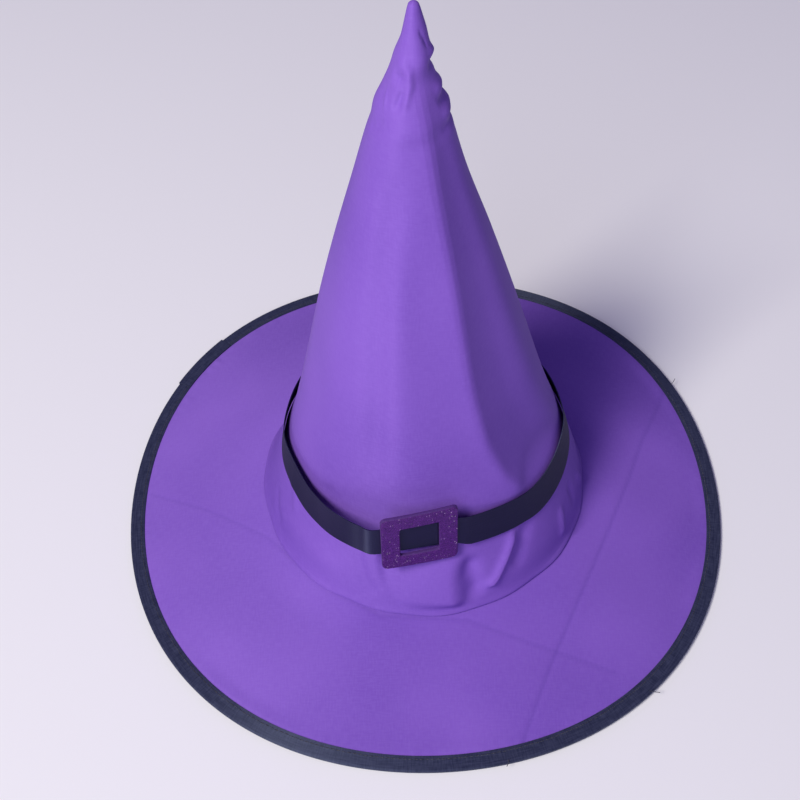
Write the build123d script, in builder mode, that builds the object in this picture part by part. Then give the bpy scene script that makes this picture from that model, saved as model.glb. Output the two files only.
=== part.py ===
# Witch hat: pointed cloth crown on a wired, bound brim, with a loose ribbon band and a buckle.
# Millimetres, +Z up. The origin is on the crown's axis, in the plane that the brim's edge rests on.
# The buckle faces -Y and the crown's back seam is at +Y.
from build123d import *
from math import asin, atan2, cos, degrees, hypot, pi, radians, sin, tan
import os

os.makedirs("parts", exist_ok=True)

# ---- driving dimensions ----
brim_diameter = 380.0        # over the binding
hat_height = 360.0           # brim's edge to the point
crown_base_radius = 100.5    # crown's outer radius where it meets the brim
seam_height = 18.5           # crown's lower edge above the plane of the brim's edge
tip_radius = 3.0             # rounding of the point

cloth_t = 0.4                # taffeta, with its fused backing
stiffener_t = 0.8            # non-woven liner inside the crown
core_t = 1.2                 # foam sheet inside the brim
ply_gap = 0.15               # air between plies that lie on each other

neck_drop = 62.0             # lower end of the unlined neck, below the top: the crown creases above
neck_length = 30.0           # above the neck the point keeps its shape
point_fill = 9.0             # turned seam edges that fill the point, measured down from the top
liner_below_neck = 4.0       # liner's upper edge below the neck
liner_above_hem = 3.0        # liner's lower edge above the crown's edge

allowance_width = 10.0       # turned edges of the back seam
allowance_t = 0.9
allowance_start = 12.0       # their lower end above the crown's edge

binding_width = 8.0          # what shows of the tape on each side
binding_t = 0.4
binding_corner = 0.8         # bevel where the tape folds over the brim's edge
lap_length = 46.0            # where the tape's end lies over its start
lap_angle = 144.0            # direction of that lap, from +X towards +Y
wire_diameter = 1.6
ferrule_diameter = 2.2
ferrule_length = 12.0
ferrule_slip = 0.05          # wire in ferrule, radially
wire_end_gap = 1.0           # between the wire's two ends, in the ferrule
wire_room = 0.15             # ferrule to the cloth round it

sweatband_height = 25.0
sweatband_t = 0.8
sweatband_floor_gap = 0.5    # its lower edge above the plane that the brim rests on
sweatband_ease = 0.2         # sweatband to the seam allowance
sweatband_lap_length = 15.0
hem_drop = 11.0              # turned edges below the crown's edge, all round the opening

band_width = 20.0
band_t = 0.5
band_height = 62.5           # plane of the band's lower edge, on the crown's axis
band_tilt = 8.0              # that plane's tilt, front up
band_yaw = 10.0              # flat stretch behind the buckle, turned about the crown's axis
band_flat = 44.0             # length of that flat stretch
band_arc_ends = 35.0         # how far in front of the sides the loop keeps the crown's curve
band_back_clearance = 0.8    # band's lower edge to the crown, at the back
band_side_clearance = 1.5    # and at the sides
buckle_clearance = 0.5       # buckle's lower edge to the crown, which sets the band's front
band_lap_length = 22.0

buckle_width = 43.0
buckle_length = 39.0         # across the ribbon
buckle_t = 2.0
buckle_side_bar = 10.5       # bars left and right of the window
buckle_end_bar = 8.0         # bars above and below the window
buckle_corner = 2.5
window_corner = 1.0
buckle_edge = 0.4            # rounding of the foam's cut edges
buckle_shift = -4.0          # buckle's centre from the crown's front, along X
glue_t = 0.3                 # hot glue between the ribbon and the buckle
glue_radius = 3.5
glitter_t = 0.3

thread_diameter = 0.5
binding_stitch_inset = 2.0   # row of stitches from the tape's inner edge
opening_stitch_drop = 6.0    # row of stitches below the crown's edge
thread_gap = 0.02            # thread to the cloth that it lies on

# ---- shape of the crown ----
neck_bottom = hat_height - neck_drop
neck_top = neck_bottom + neck_length
# The cone touches the small sphere of the point, and passes through the crown's lower edge.
point_centre = hat_height - tip_radius
point_rise = point_centre - seam_height
half_angle = atan2(crown_base_radius, point_rise) - asin(tip_radius / hypot(crown_base_radius, point_rise))
cone_slope = tan(half_angle)


def crown_radius(z):
    """Outer radius of the crown's cone at a height."""
    return crown_base_radius - (z - seam_height) * cone_slope


# ---- shape of the brim ----
brim_radius = brim_diameter / 2
rim_radius = brim_radius - binding_width
rim_thickness = 2 * binding_t + 2 * cloth_t + core_t + 4 * ply_gap
top_cloth_z = rim_thickness - binding_t - ply_gap
core_z = top_cloth_z - cloth_t - ply_gap
under_cloth_z = core_z - core_t - ply_gap
brim_slope = (seam_height - ply_gap - top_cloth_z) / (rim_radius - crown_base_radius)


def brim_z(r, rim_z):
    """Height of a brim ply's upper face at a radius, from its height in the flat rim."""
    return rim_z + max(0.0, rim_radius - r) * brim_slope


# ---- fits round the head opening, from the crown's liner inwards and back out ----
sweatband_top = sweatband_floor_gap + sweatband_height
liner_inner_at_band = crown_radius(sweatband_top) - cloth_t - ply_gap - stiffener_t
sweatband_outer = liner_inner_at_band - ply_gap - allowance_t - sweatband_ease
sweatband_inner = sweatband_outer - sweatband_t
hem_inner = sweatband_outer + cloth_t + 2 * ply_gap
hem_outer = hem_inner + cloth_t
top_lip = hem_outer + ply_gap
under_lip = top_lip + cloth_t + ply_gap
core_inner = under_lip + cloth_t + ply_gap
hem_bottom = seam_height - hem_drop
hem_fold = brim_z(hem_outer, top_cloth_z) + ply_gap

# ---- fits in the brim's edge ----
ferrule_radius = ferrule_diameter / 2
wire_radius = wire_diameter / 2
wire_ring = brim_radius - binding_t - wire_room - ferrule_radius
ply_end = wire_ring - ferrule_radius - wire_room
wire_z = rim_thickness / 2


def radial_plane(angle):
    """Plane through the crown's axis: local x outwards at that angle, local y up."""
    a = radians(angle)
    return Plane(origin=(0, 0, 0), x_dir=(cos(a), sin(a), 0), z_dir=(sin(a), -cos(a), 0))


def save(piece, name):
    """Label a finished piece and write its STEP file."""
    piece.part.label = name
    export_step(piece.part, f"parts/{name}.step")


# ---- crown_shell: outer cloth up to the neck, with its lower edge turned in and down ----
with BuildPart() as crown_shell:
    with BuildSketch(Plane.XZ):
        with BuildLine():
            Polyline(
                (hem_outer, hem_bottom),
                (hem_outer, hem_fold),
                (crown_base_radius, seam_height),
                (crown_radius(neck_bottom), neck_bottom),
                (crown_radius(neck_bottom) - cloth_t, neck_bottom),
                (crown_base_radius - cloth_t, seam_height + cloth_t),
                (hem_inner, hem_fold + cloth_t),
                (hem_inner, hem_bottom),
                close=True,
            )
        make_face()
    revolve(axis=Axis.Z)
save(crown_shell, "crown_shell")

# ---- crown_neck: the unlined stretch that creases where the point flops over ----
with BuildPart() as crown_neck:
    with BuildSketch(Plane.XZ):
        with BuildLine():
            Polyline(
                (crown_radius(neck_bottom), neck_bottom),
                (crown_radius(neck_top), neck_top),
                (crown_radius(neck_top) - cloth_t, neck_top),
                (crown_radius(neck_bottom) - cloth_t, neck_bottom),
                close=True,
            )
        make_face()
    revolve(axis=Axis.Z)
save(crown_neck, "crown_neck")

# ---- crown_tip: the point, its end full of turned seam edges ----
tangent_r = tip_radius * cos(half_angle)
tangent_z = point_centre + tip_radius * sin(half_angle)
with BuildPart() as crown_tip:
    with BuildSketch(Plane.XZ):
        with BuildLine():
            Line((crown_radius(neck_top), neck_top), (tangent_r, tangent_z))
            RadiusArc((tangent_r, tangent_z), (0, hat_height), -tip_radius)
            Polyline(
                (0, hat_height),
                (0, hat_height - point_fill),
                (crown_radius(neck_top) - cloth_t, neck_top),
                (crown_radius(neck_top), neck_top),
            )
        make_face()
    revolve(axis=Axis.Z)
save(crown_tip, "crown_tip")

# ---- crown_stiffener: non-woven liner, inside the cloth ----
liner_bottom = seam_height + liner_above_hem
liner_top = neck_bottom - liner_below_neck
liner_inset = cloth_t + ply_gap
with BuildPart() as crown_stiffener:
    with BuildSketch(Plane.XZ):
        with BuildLine():
            Polyline(
                (crown_radius(liner_bottom) - liner_inset, liner_bottom),
                (crown_radius(liner_top) - liner_inset, liner_top),
                (crown_radius(liner_top) - liner_inset - stiffener_t, liner_top),
                (crown_radius(liner_bottom) - liner_inset - stiffener_t, liner_bottom),
                close=True,
            )
        make_face()
    revolve(axis=Axis.Z)
save(crown_stiffener, "crown_stiffener")

# ---- crown_seam_allowance: turned edges of the back seam, a strip up the inside ----
allowance_bottom = seam_height + allowance_start
allowance_inset = liner_inset + stiffener_t + ply_gap
with BuildPart() as crown_seam_allowance:
    with BuildSketch(Plane.XZ):
        with BuildLine():
            Polyline(
                (crown_radius(allowance_bottom) - allowance_inset, allowance_bottom),
                (crown_radius(liner_top) - allowance_inset, liner_top),
                (crown_radius(liner_top) - allowance_inset - allowance_t, liner_top),
                (crown_radius(allowance_bottom) - allowance_inset - allowance_t, allowance_bottom),
                close=True,
            )
        make_face()
    revolve(axis=Axis.Z)
    with BuildSketch(Plane.XY):
        with Locations((0, crown_base_radius)):
            Rectangle(allowance_width, 2 * crown_base_radius - 2 * allowance_width)
    extrude(amount=hat_height, mode=Mode.INTERSECT)
save(crown_seam_allowance, "crown_seam_allowance")


# ---- brim: three plies that rise from the flat rim to the opening ----
def brim_ply(inner, rim_z, thickness, lip):
    """Outline of a brim ply from its inner radius to the wire, with a turned-down lip or none."""
    end = inner + cloth_t if lip else inner
    upper = [(inner, brim_z(inner, rim_z)), (rim_radius, rim_z), (ply_end, rim_z)]
    lower = [(ply_end, rim_z - thickness), (rim_radius, rim_z - thickness)]
    lower.append((end, brim_z(end, rim_z) - thickness))
    edge = [(end, hem_bottom), (inner, hem_bottom)] if lip else []
    return upper + lower + edge


with BuildPart() as brim_top:
    with BuildSketch(Plane.XZ):
        with BuildLine():
            Polyline(*brim_ply(top_lip, top_cloth_z, cloth_t, True), close=True)
        make_face()
    revolve(axis=Axis.Z)
save(brim_top, "brim_top")

with BuildPart() as brim_core:
    with BuildSketch(Plane.XZ):
        with BuildLine():
            Polyline(*brim_ply(core_inner, core_z, core_t, False), close=True)
        make_face()
    revolve(axis=Axis.Z)
save(brim_core, "brim_core")

with BuildPart() as brim_underside:
    with BuildSketch(Plane.XZ):
        with BuildLine():
            Polyline(*brim_ply(under_lip, under_cloth_z, cloth_t, True), close=True)
        make_face()
    revolve(axis=Axis.Z)
save(brim_underside, "brim_underside")

# ---- brim_wire: spring-steel ring in the fold of the binding, open by a small gap ----
wire_arc = 360 - degrees(wire_end_gap / wire_ring)
with BuildPart() as brim_wire:
    with BuildSketch(radial_plane(lap_angle + degrees(wire_end_gap / wire_ring) / 2)):
        with Locations((wire_ring, wire_z)):
            Circle(wire_radius)
    revolve(axis=Axis.Z, revolution_arc=wire_arc)
save(brim_wire, "brim_wire")

# ---- wire_ferrule: crimped sleeve that joins the wire's two ends ----
ferrule_arc = degrees(ferrule_length / wire_ring)
with BuildPart() as wire_ferrule:
    with BuildSketch(radial_plane(lap_angle - ferrule_arc / 2)):
        with Locations((wire_ring, wire_z)):
            Circle(ferrule_radius)
            Circle(wire_radius + ferrule_slip, mode=Mode.SUBTRACT)
    revolve(axis=Axis.Z, revolution_arc=ferrule_arc)
save(wire_ferrule, "wire_ferrule")

# ---- brim_binding: satin tape folded over the brim's edge and the wire ----
fold_set_back = binding_corner + binding_t * tan(pi / 8)
with BuildPart() as brim_binding:
    with BuildSketch(Plane.XZ):
        with BuildLine():
            Polyline(
                (rim_radius, 0),
                (brim_radius - binding_corner, 0),
                (brim_radius, binding_corner),
                (brim_radius, rim_thickness - binding_corner),
                (brim_radius - binding_corner, rim_thickness),
                (rim_radius, rim_thickness),
                (rim_radius, rim_thickness - binding_t),
                (brim_radius - fold_set_back, rim_thickness - binding_t),
                (brim_radius - binding_t, rim_thickness - fold_set_back),
                (brim_radius - binding_t, fold_set_back),
                (brim_radius - fold_set_back, binding_t),
                (rim_radius, binding_t),
                close=True,
            )
        make_face()
    revolve(axis=Axis.Z)
save(brim_binding, "brim_binding")

# ---- binding_lap: the tape's end, over its start, on the upper side and round the edge ----
lap_arc = degrees(lap_length / brim_radius)
lap_inner = brim_radius + ply_gap
lap_foot = rim_thickness - binding_corner - binding_t
with BuildPart() as binding_lap:
    with BuildSketch(radial_plane(lap_angle - lap_arc / 2)):
        with BuildLine():
            Polyline(
                (rim_radius, rim_thickness + ply_gap),
                (lap_inner, rim_thickness + ply_gap),
                (lap_inner, lap_foot),
                (lap_inner + binding_t, lap_foot),
                (lap_inner + binding_t, rim_thickness + ply_gap + binding_t),
                (rim_radius, rim_thickness + ply_gap + binding_t),
                close=True,
            )
        make_face()
    revolve(axis=Axis.Z, revolution_arc=lap_arc)
save(binding_lap, "binding_lap")

# ---- binding_topstitch: row of thread along the tape, on the upper side ----
stitch_ring = rim_radius + binding_stitch_inset
stitch_z = rim_thickness + thread_diameter / 2 + thread_gap
with BuildPart() as binding_topstitch:
    with BuildSketch(radial_plane(lap_angle + lap_arc / 2)):
        with Locations((stitch_ring, stitch_z)):
            Circle(thread_diameter / 2)
    revolve(axis=Axis.Z, revolution_arc=360 - lap_arc)
save(binding_topstitch, "binding_topstitch")

# ---- sweatband: woven tape that lines the head opening ----
with BuildPart() as sweatband:
    with BuildSketch(Plane.XY.offset(sweatband_floor_gap)):
        Circle(sweatband_outer)
        Circle(sweatband_inner, mode=Mode.SUBTRACT)
    extrude(amount=sweatband_height)
save(sweatband, "sweatband")

# ---- sweatband_lap: the tape's end, behind its start, at the back ----
lap_behind = sweatband_outer + ply_gap
with BuildPart() as sweatband_lap:
    with BuildSketch(Plane.XY.offset(sweatband_floor_gap)):
        Circle(lap_behind + cloth_t)
        Circle(lap_behind, mode=Mode.SUBTRACT)
        with Locations((0, sweatband_outer)):
            Rectangle(sweatband_lap_length, sweatband_outer, mode=Mode.INTERSECT)
    extrude(amount=hem_bottom - sweatband_floor_gap)
save(sweatband_lap, "sweatband_lap")

# ---- opening_stitch: row of thread through the turned edges and the sweatband ----
opening_stitch_ring = under_lip + cloth_t + thread_diameter / 2 + thread_gap
with BuildPart() as opening_stitch:
    with BuildSketch(Plane.XZ):
        with Locations((opening_stitch_ring, seam_height - opening_stitch_drop)):
            Circle(thread_diameter / 2)
    revolve(axis=Axis.Z)
save(opening_stitch, "opening_stitch")

# ---- the band's loop ----
# A tilted plane cuts the crown in an ellipse, and the loop passes round that ellipse with its
# clearances. Its front is a straight stretch behind the buckle, which faces a little to the right.
tilt = radians(band_tilt)
yaw = radians(band_yaw)
band_plane = Plane(origin=(0, 0, band_height), x_dir=(1, 0, 0), z_dir=(0, sin(tilt), cos(tilt)))
section_front = crown_radius(band_height) / (1 + cone_slope * tan(tilt)) / cos(tilt)
section_back = crown_radius(band_height) / (1 - cone_slope * tan(tilt)) / cos(tilt)
section_centre = (section_back - section_front) / 2
section_half = (section_back + section_front) / 2
section_side = crown_radius(band_height) / (1 - (cone_slope * tan(tilt)) ** 2) ** 0.5

buckle_overhang = (buckle_length - band_width) / 2
buckle_dip = buckle_overhang * (cone_slope - tan(tilt))
front_clearance = max(band_back_clearance, buckle_clearance + buckle_dip - band_t - glue_t)
section_reach = hypot(section_side * sin(yaw), section_half * cos(yaw)) - section_centre * cos(yaw)
flat_distance = section_reach + front_clearance
flat_y = -(flat_distance - buckle_shift * sin(yaw)) / cos(yaw)
loop_side = section_side + band_side_clearance
loop_half = section_half + band_back_clearance
flat_dir = Vector(cos(yaw), sin(yaw))
flat_out = Vector(sin(yaw), -cos(yaw))


def loop_block(growth):
    """Solid block that fills the band's loop, grown all round."""
    middle = Vector(buckle_shift, flat_y) + flat_out * growth
    flat_left = middle - flat_dir * (band_flat / 2)
    flat_right = middle + flat_dir * (band_flat / 2)
    with BuildPart(mode=Mode.PRIVATE) as block:
        with BuildSketch(band_plane):
            with BuildLine():
                Line(flat_left, flat_right)
                round_back = EllipticalCenterArc(
                    (0, section_centre),
                    loop_side + growth,
                    loop_half + growth,
                    start_angle=-band_arc_ends,
                    arc_size=180 + 2 * band_arc_ends,
                )
                Spline(flat_right, round_back @ 0, tangents=[flat_dir, round_back % 0])
                Spline(round_back @ 1, flat_left, tangents=[round_back % 1, flat_dir])
            make_face()
        extrude(amount=band_width)
    return block.part


# ---- ribbon_band: closed satin loop, loose round the crown ----
with BuildPart() as ribbon_band:
    add(loop_block(band_t))
    add(loop_block(0), mode=Mode.SUBTRACT)
save(ribbon_band, "ribbon_band")

# ---- ribbon_lap: the ribbon's end, glued over its start at the back ----
with BuildPart() as ribbon_lap:
    add(loop_block(2 * band_t + ply_gap))
    add(loop_block(band_t + ply_gap), mode=Mode.SUBTRACT)
    with BuildSketch(band_plane):
        with Locations((0, section_centre + loop_half)):
            Rectangle(band_lap_length, loop_half)
    extrude(amount=band_width, mode=Mode.INTERSECT)
save(ribbon_lap, "ribbon_lap")

# ---- the buckle's plane: the ribbon's outer face in its flat stretch, glue in front of it ----
flat_normal = band_plane.x_dir * sin(yaw) - band_plane.y_dir * cos(yaw)
flat_along = band_plane.x_dir * cos(yaw) + band_plane.y_dir * sin(yaw)
flat_middle = band_plane.from_local_coords(Vector(buckle_shift, flat_y, band_width / 2))
ribbon_face = Plane(origin=flat_middle + flat_normal * band_t, x_dir=flat_along, z_dir=flat_normal)
buckle_back = ribbon_face.offset(glue_t)

# ---- buckle_frame: rectangular frame cut from foam sheet ----
with BuildPart() as buckle_frame:
    with BuildSketch(buckle_back):
        RectangleRounded(buckle_width, buckle_length, buckle_corner)
        RectangleRounded(
            buckle_width - 2 * buckle_side_bar,
            buckle_length - 2 * buckle_end_bar,
            window_corner,
            mode=Mode.SUBTRACT,
        )
    extrude(amount=buckle_t)
    fillet(buckle_frame.faces().sort_by(Axis(flat_middle, flat_normal))[0].edges(), radius=buckle_edge)
save(buckle_frame, "buckle_frame")

# ---- buckle_glitter: glitter film over the frame's face ----
with BuildPart() as buckle_glitter:
    with BuildSketch(buckle_back.offset(buckle_t)):
        RectangleRounded(buckle_width, buckle_length, buckle_corner)
        RectangleRounded(
            buckle_width - 2 * buckle_side_bar,
            buckle_length - 2 * buckle_end_bar,
            window_corner,
            mode=Mode.SUBTRACT,
        )
    extrude(amount=glitter_t)
save(buckle_glitter, "buckle_glitter")

# ---- buckle_glue: two dots of hot glue between the ribbon and the side bars ----
glue_reach = (buckle_width - buckle_side_bar) / 2
with BuildPart() as buckle_glue:
    with BuildSketch(ribbon_face):
        with Locations((-glue_reach, 0), (glue_reach, 0)):
            Circle(glue_radius)
    extrude(amount=glue_t)
save(buckle_glue, "buckle_glue")

print(f"head opening: radius {sweatband_inner:.3f}, round {2 * pi * sweatband_inner:.0f}")
print(f"rim {rim_thickness:.2f} thick, cone half angle {degrees(half_angle):.2f} degrees")
print(f"crown at the neck {crown_radius(neck_bottom):.2f}, {crown_radius(neck_top):.2f}")
print(f"buckle's middle {flat_middle.X:.1f}, {flat_middle.Y:.1f}, {flat_middle.Z:.1f}")
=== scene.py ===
import math
import bmesh
import bpy
import numpy as np
from mathutils import Matrix, Vector


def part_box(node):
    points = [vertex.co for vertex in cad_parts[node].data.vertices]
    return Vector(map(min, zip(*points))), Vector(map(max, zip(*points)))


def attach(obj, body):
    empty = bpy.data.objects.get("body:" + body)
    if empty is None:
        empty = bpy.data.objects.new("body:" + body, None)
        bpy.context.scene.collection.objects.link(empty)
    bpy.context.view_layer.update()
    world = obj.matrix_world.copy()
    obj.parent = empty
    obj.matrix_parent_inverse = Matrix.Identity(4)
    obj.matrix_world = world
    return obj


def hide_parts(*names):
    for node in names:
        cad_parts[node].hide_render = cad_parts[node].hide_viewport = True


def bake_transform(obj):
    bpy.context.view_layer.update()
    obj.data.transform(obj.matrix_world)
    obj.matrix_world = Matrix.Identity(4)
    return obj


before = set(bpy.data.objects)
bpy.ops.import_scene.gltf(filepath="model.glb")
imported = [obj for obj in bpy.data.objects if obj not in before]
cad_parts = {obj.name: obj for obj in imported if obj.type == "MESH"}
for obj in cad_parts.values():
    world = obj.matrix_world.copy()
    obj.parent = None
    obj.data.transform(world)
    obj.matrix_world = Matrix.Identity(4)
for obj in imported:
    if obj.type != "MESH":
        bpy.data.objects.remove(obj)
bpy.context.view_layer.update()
print("frame loaded,", len(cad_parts), "nodes")

# Lengths in the settings are millimetres and angles degrees. Azimuth is 0 at the front, -Y, and grows to +X.
mm = 0.001


# camera and light

camera = {
    "target": (-4.3, 0.0, 94.6),
    "distance": 706.0,
    "elevation": 51.34,
    "roll": -1.375,
    "lens": 54.03,
    "sensor": 36.0,
    "shiftX": -0.01875,
}
studio = {
    "lights": {
        "windowLight": {"azimuth": -46.0, "elevation": 52.0, "distance": 3200.0, "size": 900.0,
                        "power": 80.0, "colour": "#FFFAF2"},
        "roomLight": {"azimuth": -20.0, "elevation": 36.0, "distance": 3000.0, "size": 1500.0,
                      "power": 20.0, "colour": "#E9ECFF"},
    },
    "aimHeight": 110.0,        # the lights face the crown's middle
    "skyColour": "#B8ADEE",
    "skyStrength": 0.27,
    "floorColour": "#F4F4F6",
    "floorSize": 6000.0,
    "floorDrop": 0.4,          # keeps the floor off the tape's lower face
}


def linear(hexColour):
    parts = [int(hexColour[i:i + 2], 16) / 255 for i in (1, 3, 5)]
    return tuple(p / 12.92 if p <= 0.04045 else ((p + 0.055) / 1.055) ** 2.4 for p in parts) + (1.0,)


def direction(azimuth, elevation):
    a, e = math.radians(azimuth), math.radians(elevation)
    return Vector((math.sin(a) * math.cos(e), -math.cos(a) * math.cos(e), math.sin(e)))


def addObject(name, data):
    holder = bpy.data.objects.new(name, data)
    bpy.context.scene.collection.objects.link(holder)
    return holder


def placeCamera():
    data = bpy.data.cameras.new("camera")
    data.lens = camera["lens"]
    data.sensor_width = camera["sensor"]
    data.shift_x = camera["shiftX"]
    data.clip_start = 0.05
    data.clip_end = 20
    holder = addObject("camera", data)
    back = direction(0, camera["elevation"])
    roll = Matrix.Rotation(math.radians(camera["roll"]), 3, "Z")
    turn = back.to_track_quat("Z", "Y").to_matrix() @ roll
    place = (Vector(camera["target"]) + back * camera["distance"]) * mm
    holder.matrix_world = Matrix.Translation(place) @ turn.to_4x4()
    bpy.context.scene.camera = holder


def placeLight(name, lamp):
    data = bpy.data.lights.new(name, "AREA")
    data.size = lamp["size"] * mm
    data.energy = lamp["power"]
    data.color = linear(lamp["colour"])[:3]
    holder = addObject(name, data)
    place = direction(lamp["azimuth"], lamp["elevation"]) * lamp["distance"]
    holder.location = Vector((0, 0, studio["aimHeight"] * mm)) + place * mm
    holder.rotation_euler = place.to_track_quat("Z", "Y").to_euler()


placeCamera()
for name, lamp in studio["lights"].items():
    placeLight(name, lamp)
sky = bpy.data.worlds.new("sky")
sky.use_nodes = True
sky.node_tree.nodes["Background"].inputs["Color"].default_value = linear(studio["skyColour"])
sky.node_tree.nodes["Background"].inputs["Strength"].default_value = studio["skyStrength"]
bpy.context.scene.world = sky
bpy.context.scene.view_settings.view_transform = "Standard"
print("camera and light placed")


# node and mesh tools

def addNode(tree, kind, inputs=None, **settings):
    # an input may be a value, a socket, or a node, which gives its first output
    node = tree.nodes.new(kind)
    for name, value in settings.items():
        setattr(node, name, value)
    for key, value in (inputs or {}).items():
        if isinstance(value, bpy.types.Node):
            value = value.outputs[0]
        if isinstance(value, bpy.types.NodeSocket):
            tree.links.new(value, node.inputs[key])
        else:
            node.inputs[key].default_value = value
    return node


def newMaterial(name, **shader):
    material = bpy.data.materials.new(name)
    material.use_nodes = True
    tree = material.node_tree
    tree.nodes.clear()
    inputs = {key.replace("_", " "): value for key, value in shader.items()}
    surface = addNode(tree, "ShaderNodeBsdfPrincipled", inputs)
    addNode(tree, "ShaderNodeOutputMaterial", {"Surface": surface})
    material.diffuse_color = linear("#808080")
    return material, tree, surface


def clothGloss(tree, shader, tint):
    # woven floats shine across the thread
    tangent = addNode(tree, "ShaderNodeTangent", direction_type="UV_MAP", uv_map="clothUv")
    tree.links.new(tangent.outputs[0], shader.inputs["Tangent"])
    shader.inputs["Specular Tint"].default_value = linear(tint)


def dressSurface(tree, shader, share, colours, height=None, strength=0.0, distance=0.0):
    # a pattern mixes two colours, and the same or another pattern gives the relief
    tone = addNode(tree, "ShaderNodeMix", {"Factor": share, 6: linear(colours[0]), 7: linear(colours[1])},
                   data_type="RGBA")
    tree.links.new(tone.outputs[2], shader.inputs["Base Color"])
    if height is not None:
        relief = {"Height": height, "Strength": strength, "Distance": distance}
        tree.links.new(addNode(tree, "ShaderNodeBump", relief).outputs[0], shader.inputs["Normal"])


def smoothCurve(points, value):
    xs, ys = np.array(points, float).T
    slopes = np.gradient(ys, xs)
    at = np.clip(value, xs[0], xs[-1])
    i = np.clip(np.searchsorted(xs, at) - 1, 0, len(xs) - 2)
    span = xs[i + 1] - xs[i]
    t = (at - xs[i]) / span
    start = (2 * t ** 3 - 3 * t ** 2 + 1) * ys[i] + (t ** 3 - 2 * t ** 2 + t) * span * slopes[i]
    end = (3 * t ** 2 - 2 * t ** 3) * ys[i + 1] + (t ** 3 - t ** 2) * span * slopes[i + 1]
    return start + end


def ease(value):
    t = np.clip(value, 0, 1)
    return t * t * (3 - 2 * t)


def hill(distance, reach):
    return np.exp(-(distance / reach) ** 2)


def softWaves(u, v, seed, count, size):
    # a few long waves in set directions, about -1 to 1
    pick = np.random.default_rng(seed)
    total = np.zeros_like(u * v * 1.0)
    for turn, stretch, start in pick.random((count, 3)):
        pitch = size * (0.7 + 0.8 * stretch)
        along = u * math.cos(turn * math.pi) + v * math.sin(turn * math.pi)
        total = total + np.sin(2 * math.pi * (along / pitch + start))
    return total / math.sqrt(count)


def boxOf(node):
    low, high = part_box(node)
    return np.array(low) / mm, np.array(high) / mm


def finishMesh(name, mesh, material, sharpAngle=50):
    shape = bmesh.new()
    shape.from_mesh(mesh)
    if shape.calc_volume(signed=True) < 0:
        bmesh.ops.reverse_faces(shape, faces=shape.faces)
    shape.to_mesh(mesh)
    shape.free()
    mesh.shade_smooth()
    mesh.set_sharp_from_angle(angle=math.radians(sharpAngle))
    mesh.materials.clear()
    mesh.materials.append(material)
    return addObject(name, mesh)


def ringPiece(name, rings, material, uv=None, around=True, gap=None, poles=None, sharpAngle=50):
    # rings of points, joined along and the last to the first, but not over the gap; around closes each ring
    rings = np.asarray(rings, float)
    rows, columns = rings.shape[:2]
    j = np.arange(columns if around else columns - 1)
    after = (j + 1) % columns
    pairs = [(i, i + 1) for i in range(rows - 1) if i != gap]
    pairs.append((rows - 1, 0))
    faces = []
    corners = []
    for low, high in pairs:
        faces.append(np.stack([low * columns + j, low * columns + after, high * columns + after,
                               high * columns + j], 1))
        if uv is not None:
            corners.append(np.stack([uv[low, j], uv[low, j + 1], uv[high, j + 1], uv[high, j]], 1))
    faceList = np.concatenate(faces).tolist()
    uvList = [] if uv is None else [np.concatenate(corners).reshape(-1, 2)]
    points = rings.reshape(-1, 3)
    for number, (ring, place, rising) in enumerate(poles or []):
        pole = len(points) + number
        ends = [ring * columns + j, ring * columns + after, np.full(len(j), pole)]
        order = (0, 1, 2) if rising else (2, 1, 0)
        faceList += np.stack([ends[k] for k in order], 1).tolist()
        if uv is not None:
            tips = [uv[ring, j], uv[ring, j + 1], uv[ring, j]]
            uvList.append(np.stack([tips[k] for k in order], 1).reshape(-1, 2))
    if poles:
        points = np.concatenate([points, np.array([place for ring, place, rising in poles], float)])
    if not around:
        first = [i * columns for i in range(rows)]
        last = [i * columns + columns - 1 for i in range(rows)]
        faceList += [first, last[::-1]]
        if uv is not None:
            uvList.append(np.zeros((2 * rows, 2)))
    mesh = bpy.data.meshes.new(name)
    mesh.from_pydata((points * mm).tolist(), [], faceList)
    if uv is not None:
        layer = mesh.uv_layers.new(name="clothUv")
        layer.data.foreach_set("uv", (np.concatenate(uvList) * mm).astype(np.float32).ravel())
    return finishMesh(name, mesh, material, sharpAngle)


def pathCurve(name, points, cyclic=True):
    curve = bpy.data.curves.new(name, "CURVE")
    curve.dimensions = "3D"
    curve.twist_mode = "Z_UP"
    spline = curve.splines.new("POLY")
    spline.points.add(len(points) - 1)
    spline.points.foreach_set("co", np.column_stack([np.asarray(points) * mm, np.ones(len(points))]).ravel())
    spline.use_cyclic_u = cyclic
    return addObject(name, curve)


def newTree(name, sockets):
    tree = bpy.data.node_groups.new(name, "GeometryNodeTree")
    tree.is_modifier = True
    tree.interface.new_socket("Geometry", in_out="OUTPUT", socket_type="NodeSocketGeometry")
    tree.interface.new_socket("Geometry", in_out="INPUT", socket_type="NodeSocketGeometry")
    for label, kind in sockets:
        tree.interface.new_socket(label, in_out="INPUT", socket_type="NodeSocket" + kind)
    given = addNode(tree, "NodeGroupInput")
    return tree, given.outputs


def runTree(name, source, tree, values):
    modifier = source.modifiers.new("grow", "NODES")
    modifier.node_group = tree
    for item in tree.interface.items_tree:
        if item.in_out == "INPUT" and item.name in values:
            modifier[item.identifier] = values[item.name]
    evaluated = source.evaluated_get(bpy.context.evaluated_depsgraph_get())
    mesh = bpy.data.meshes.new_from_object(evaluated)
    mesh.name = name
    source.modifiers.clear()
    bpy.data.objects.remove(source)
    return mesh


# materials

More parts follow.
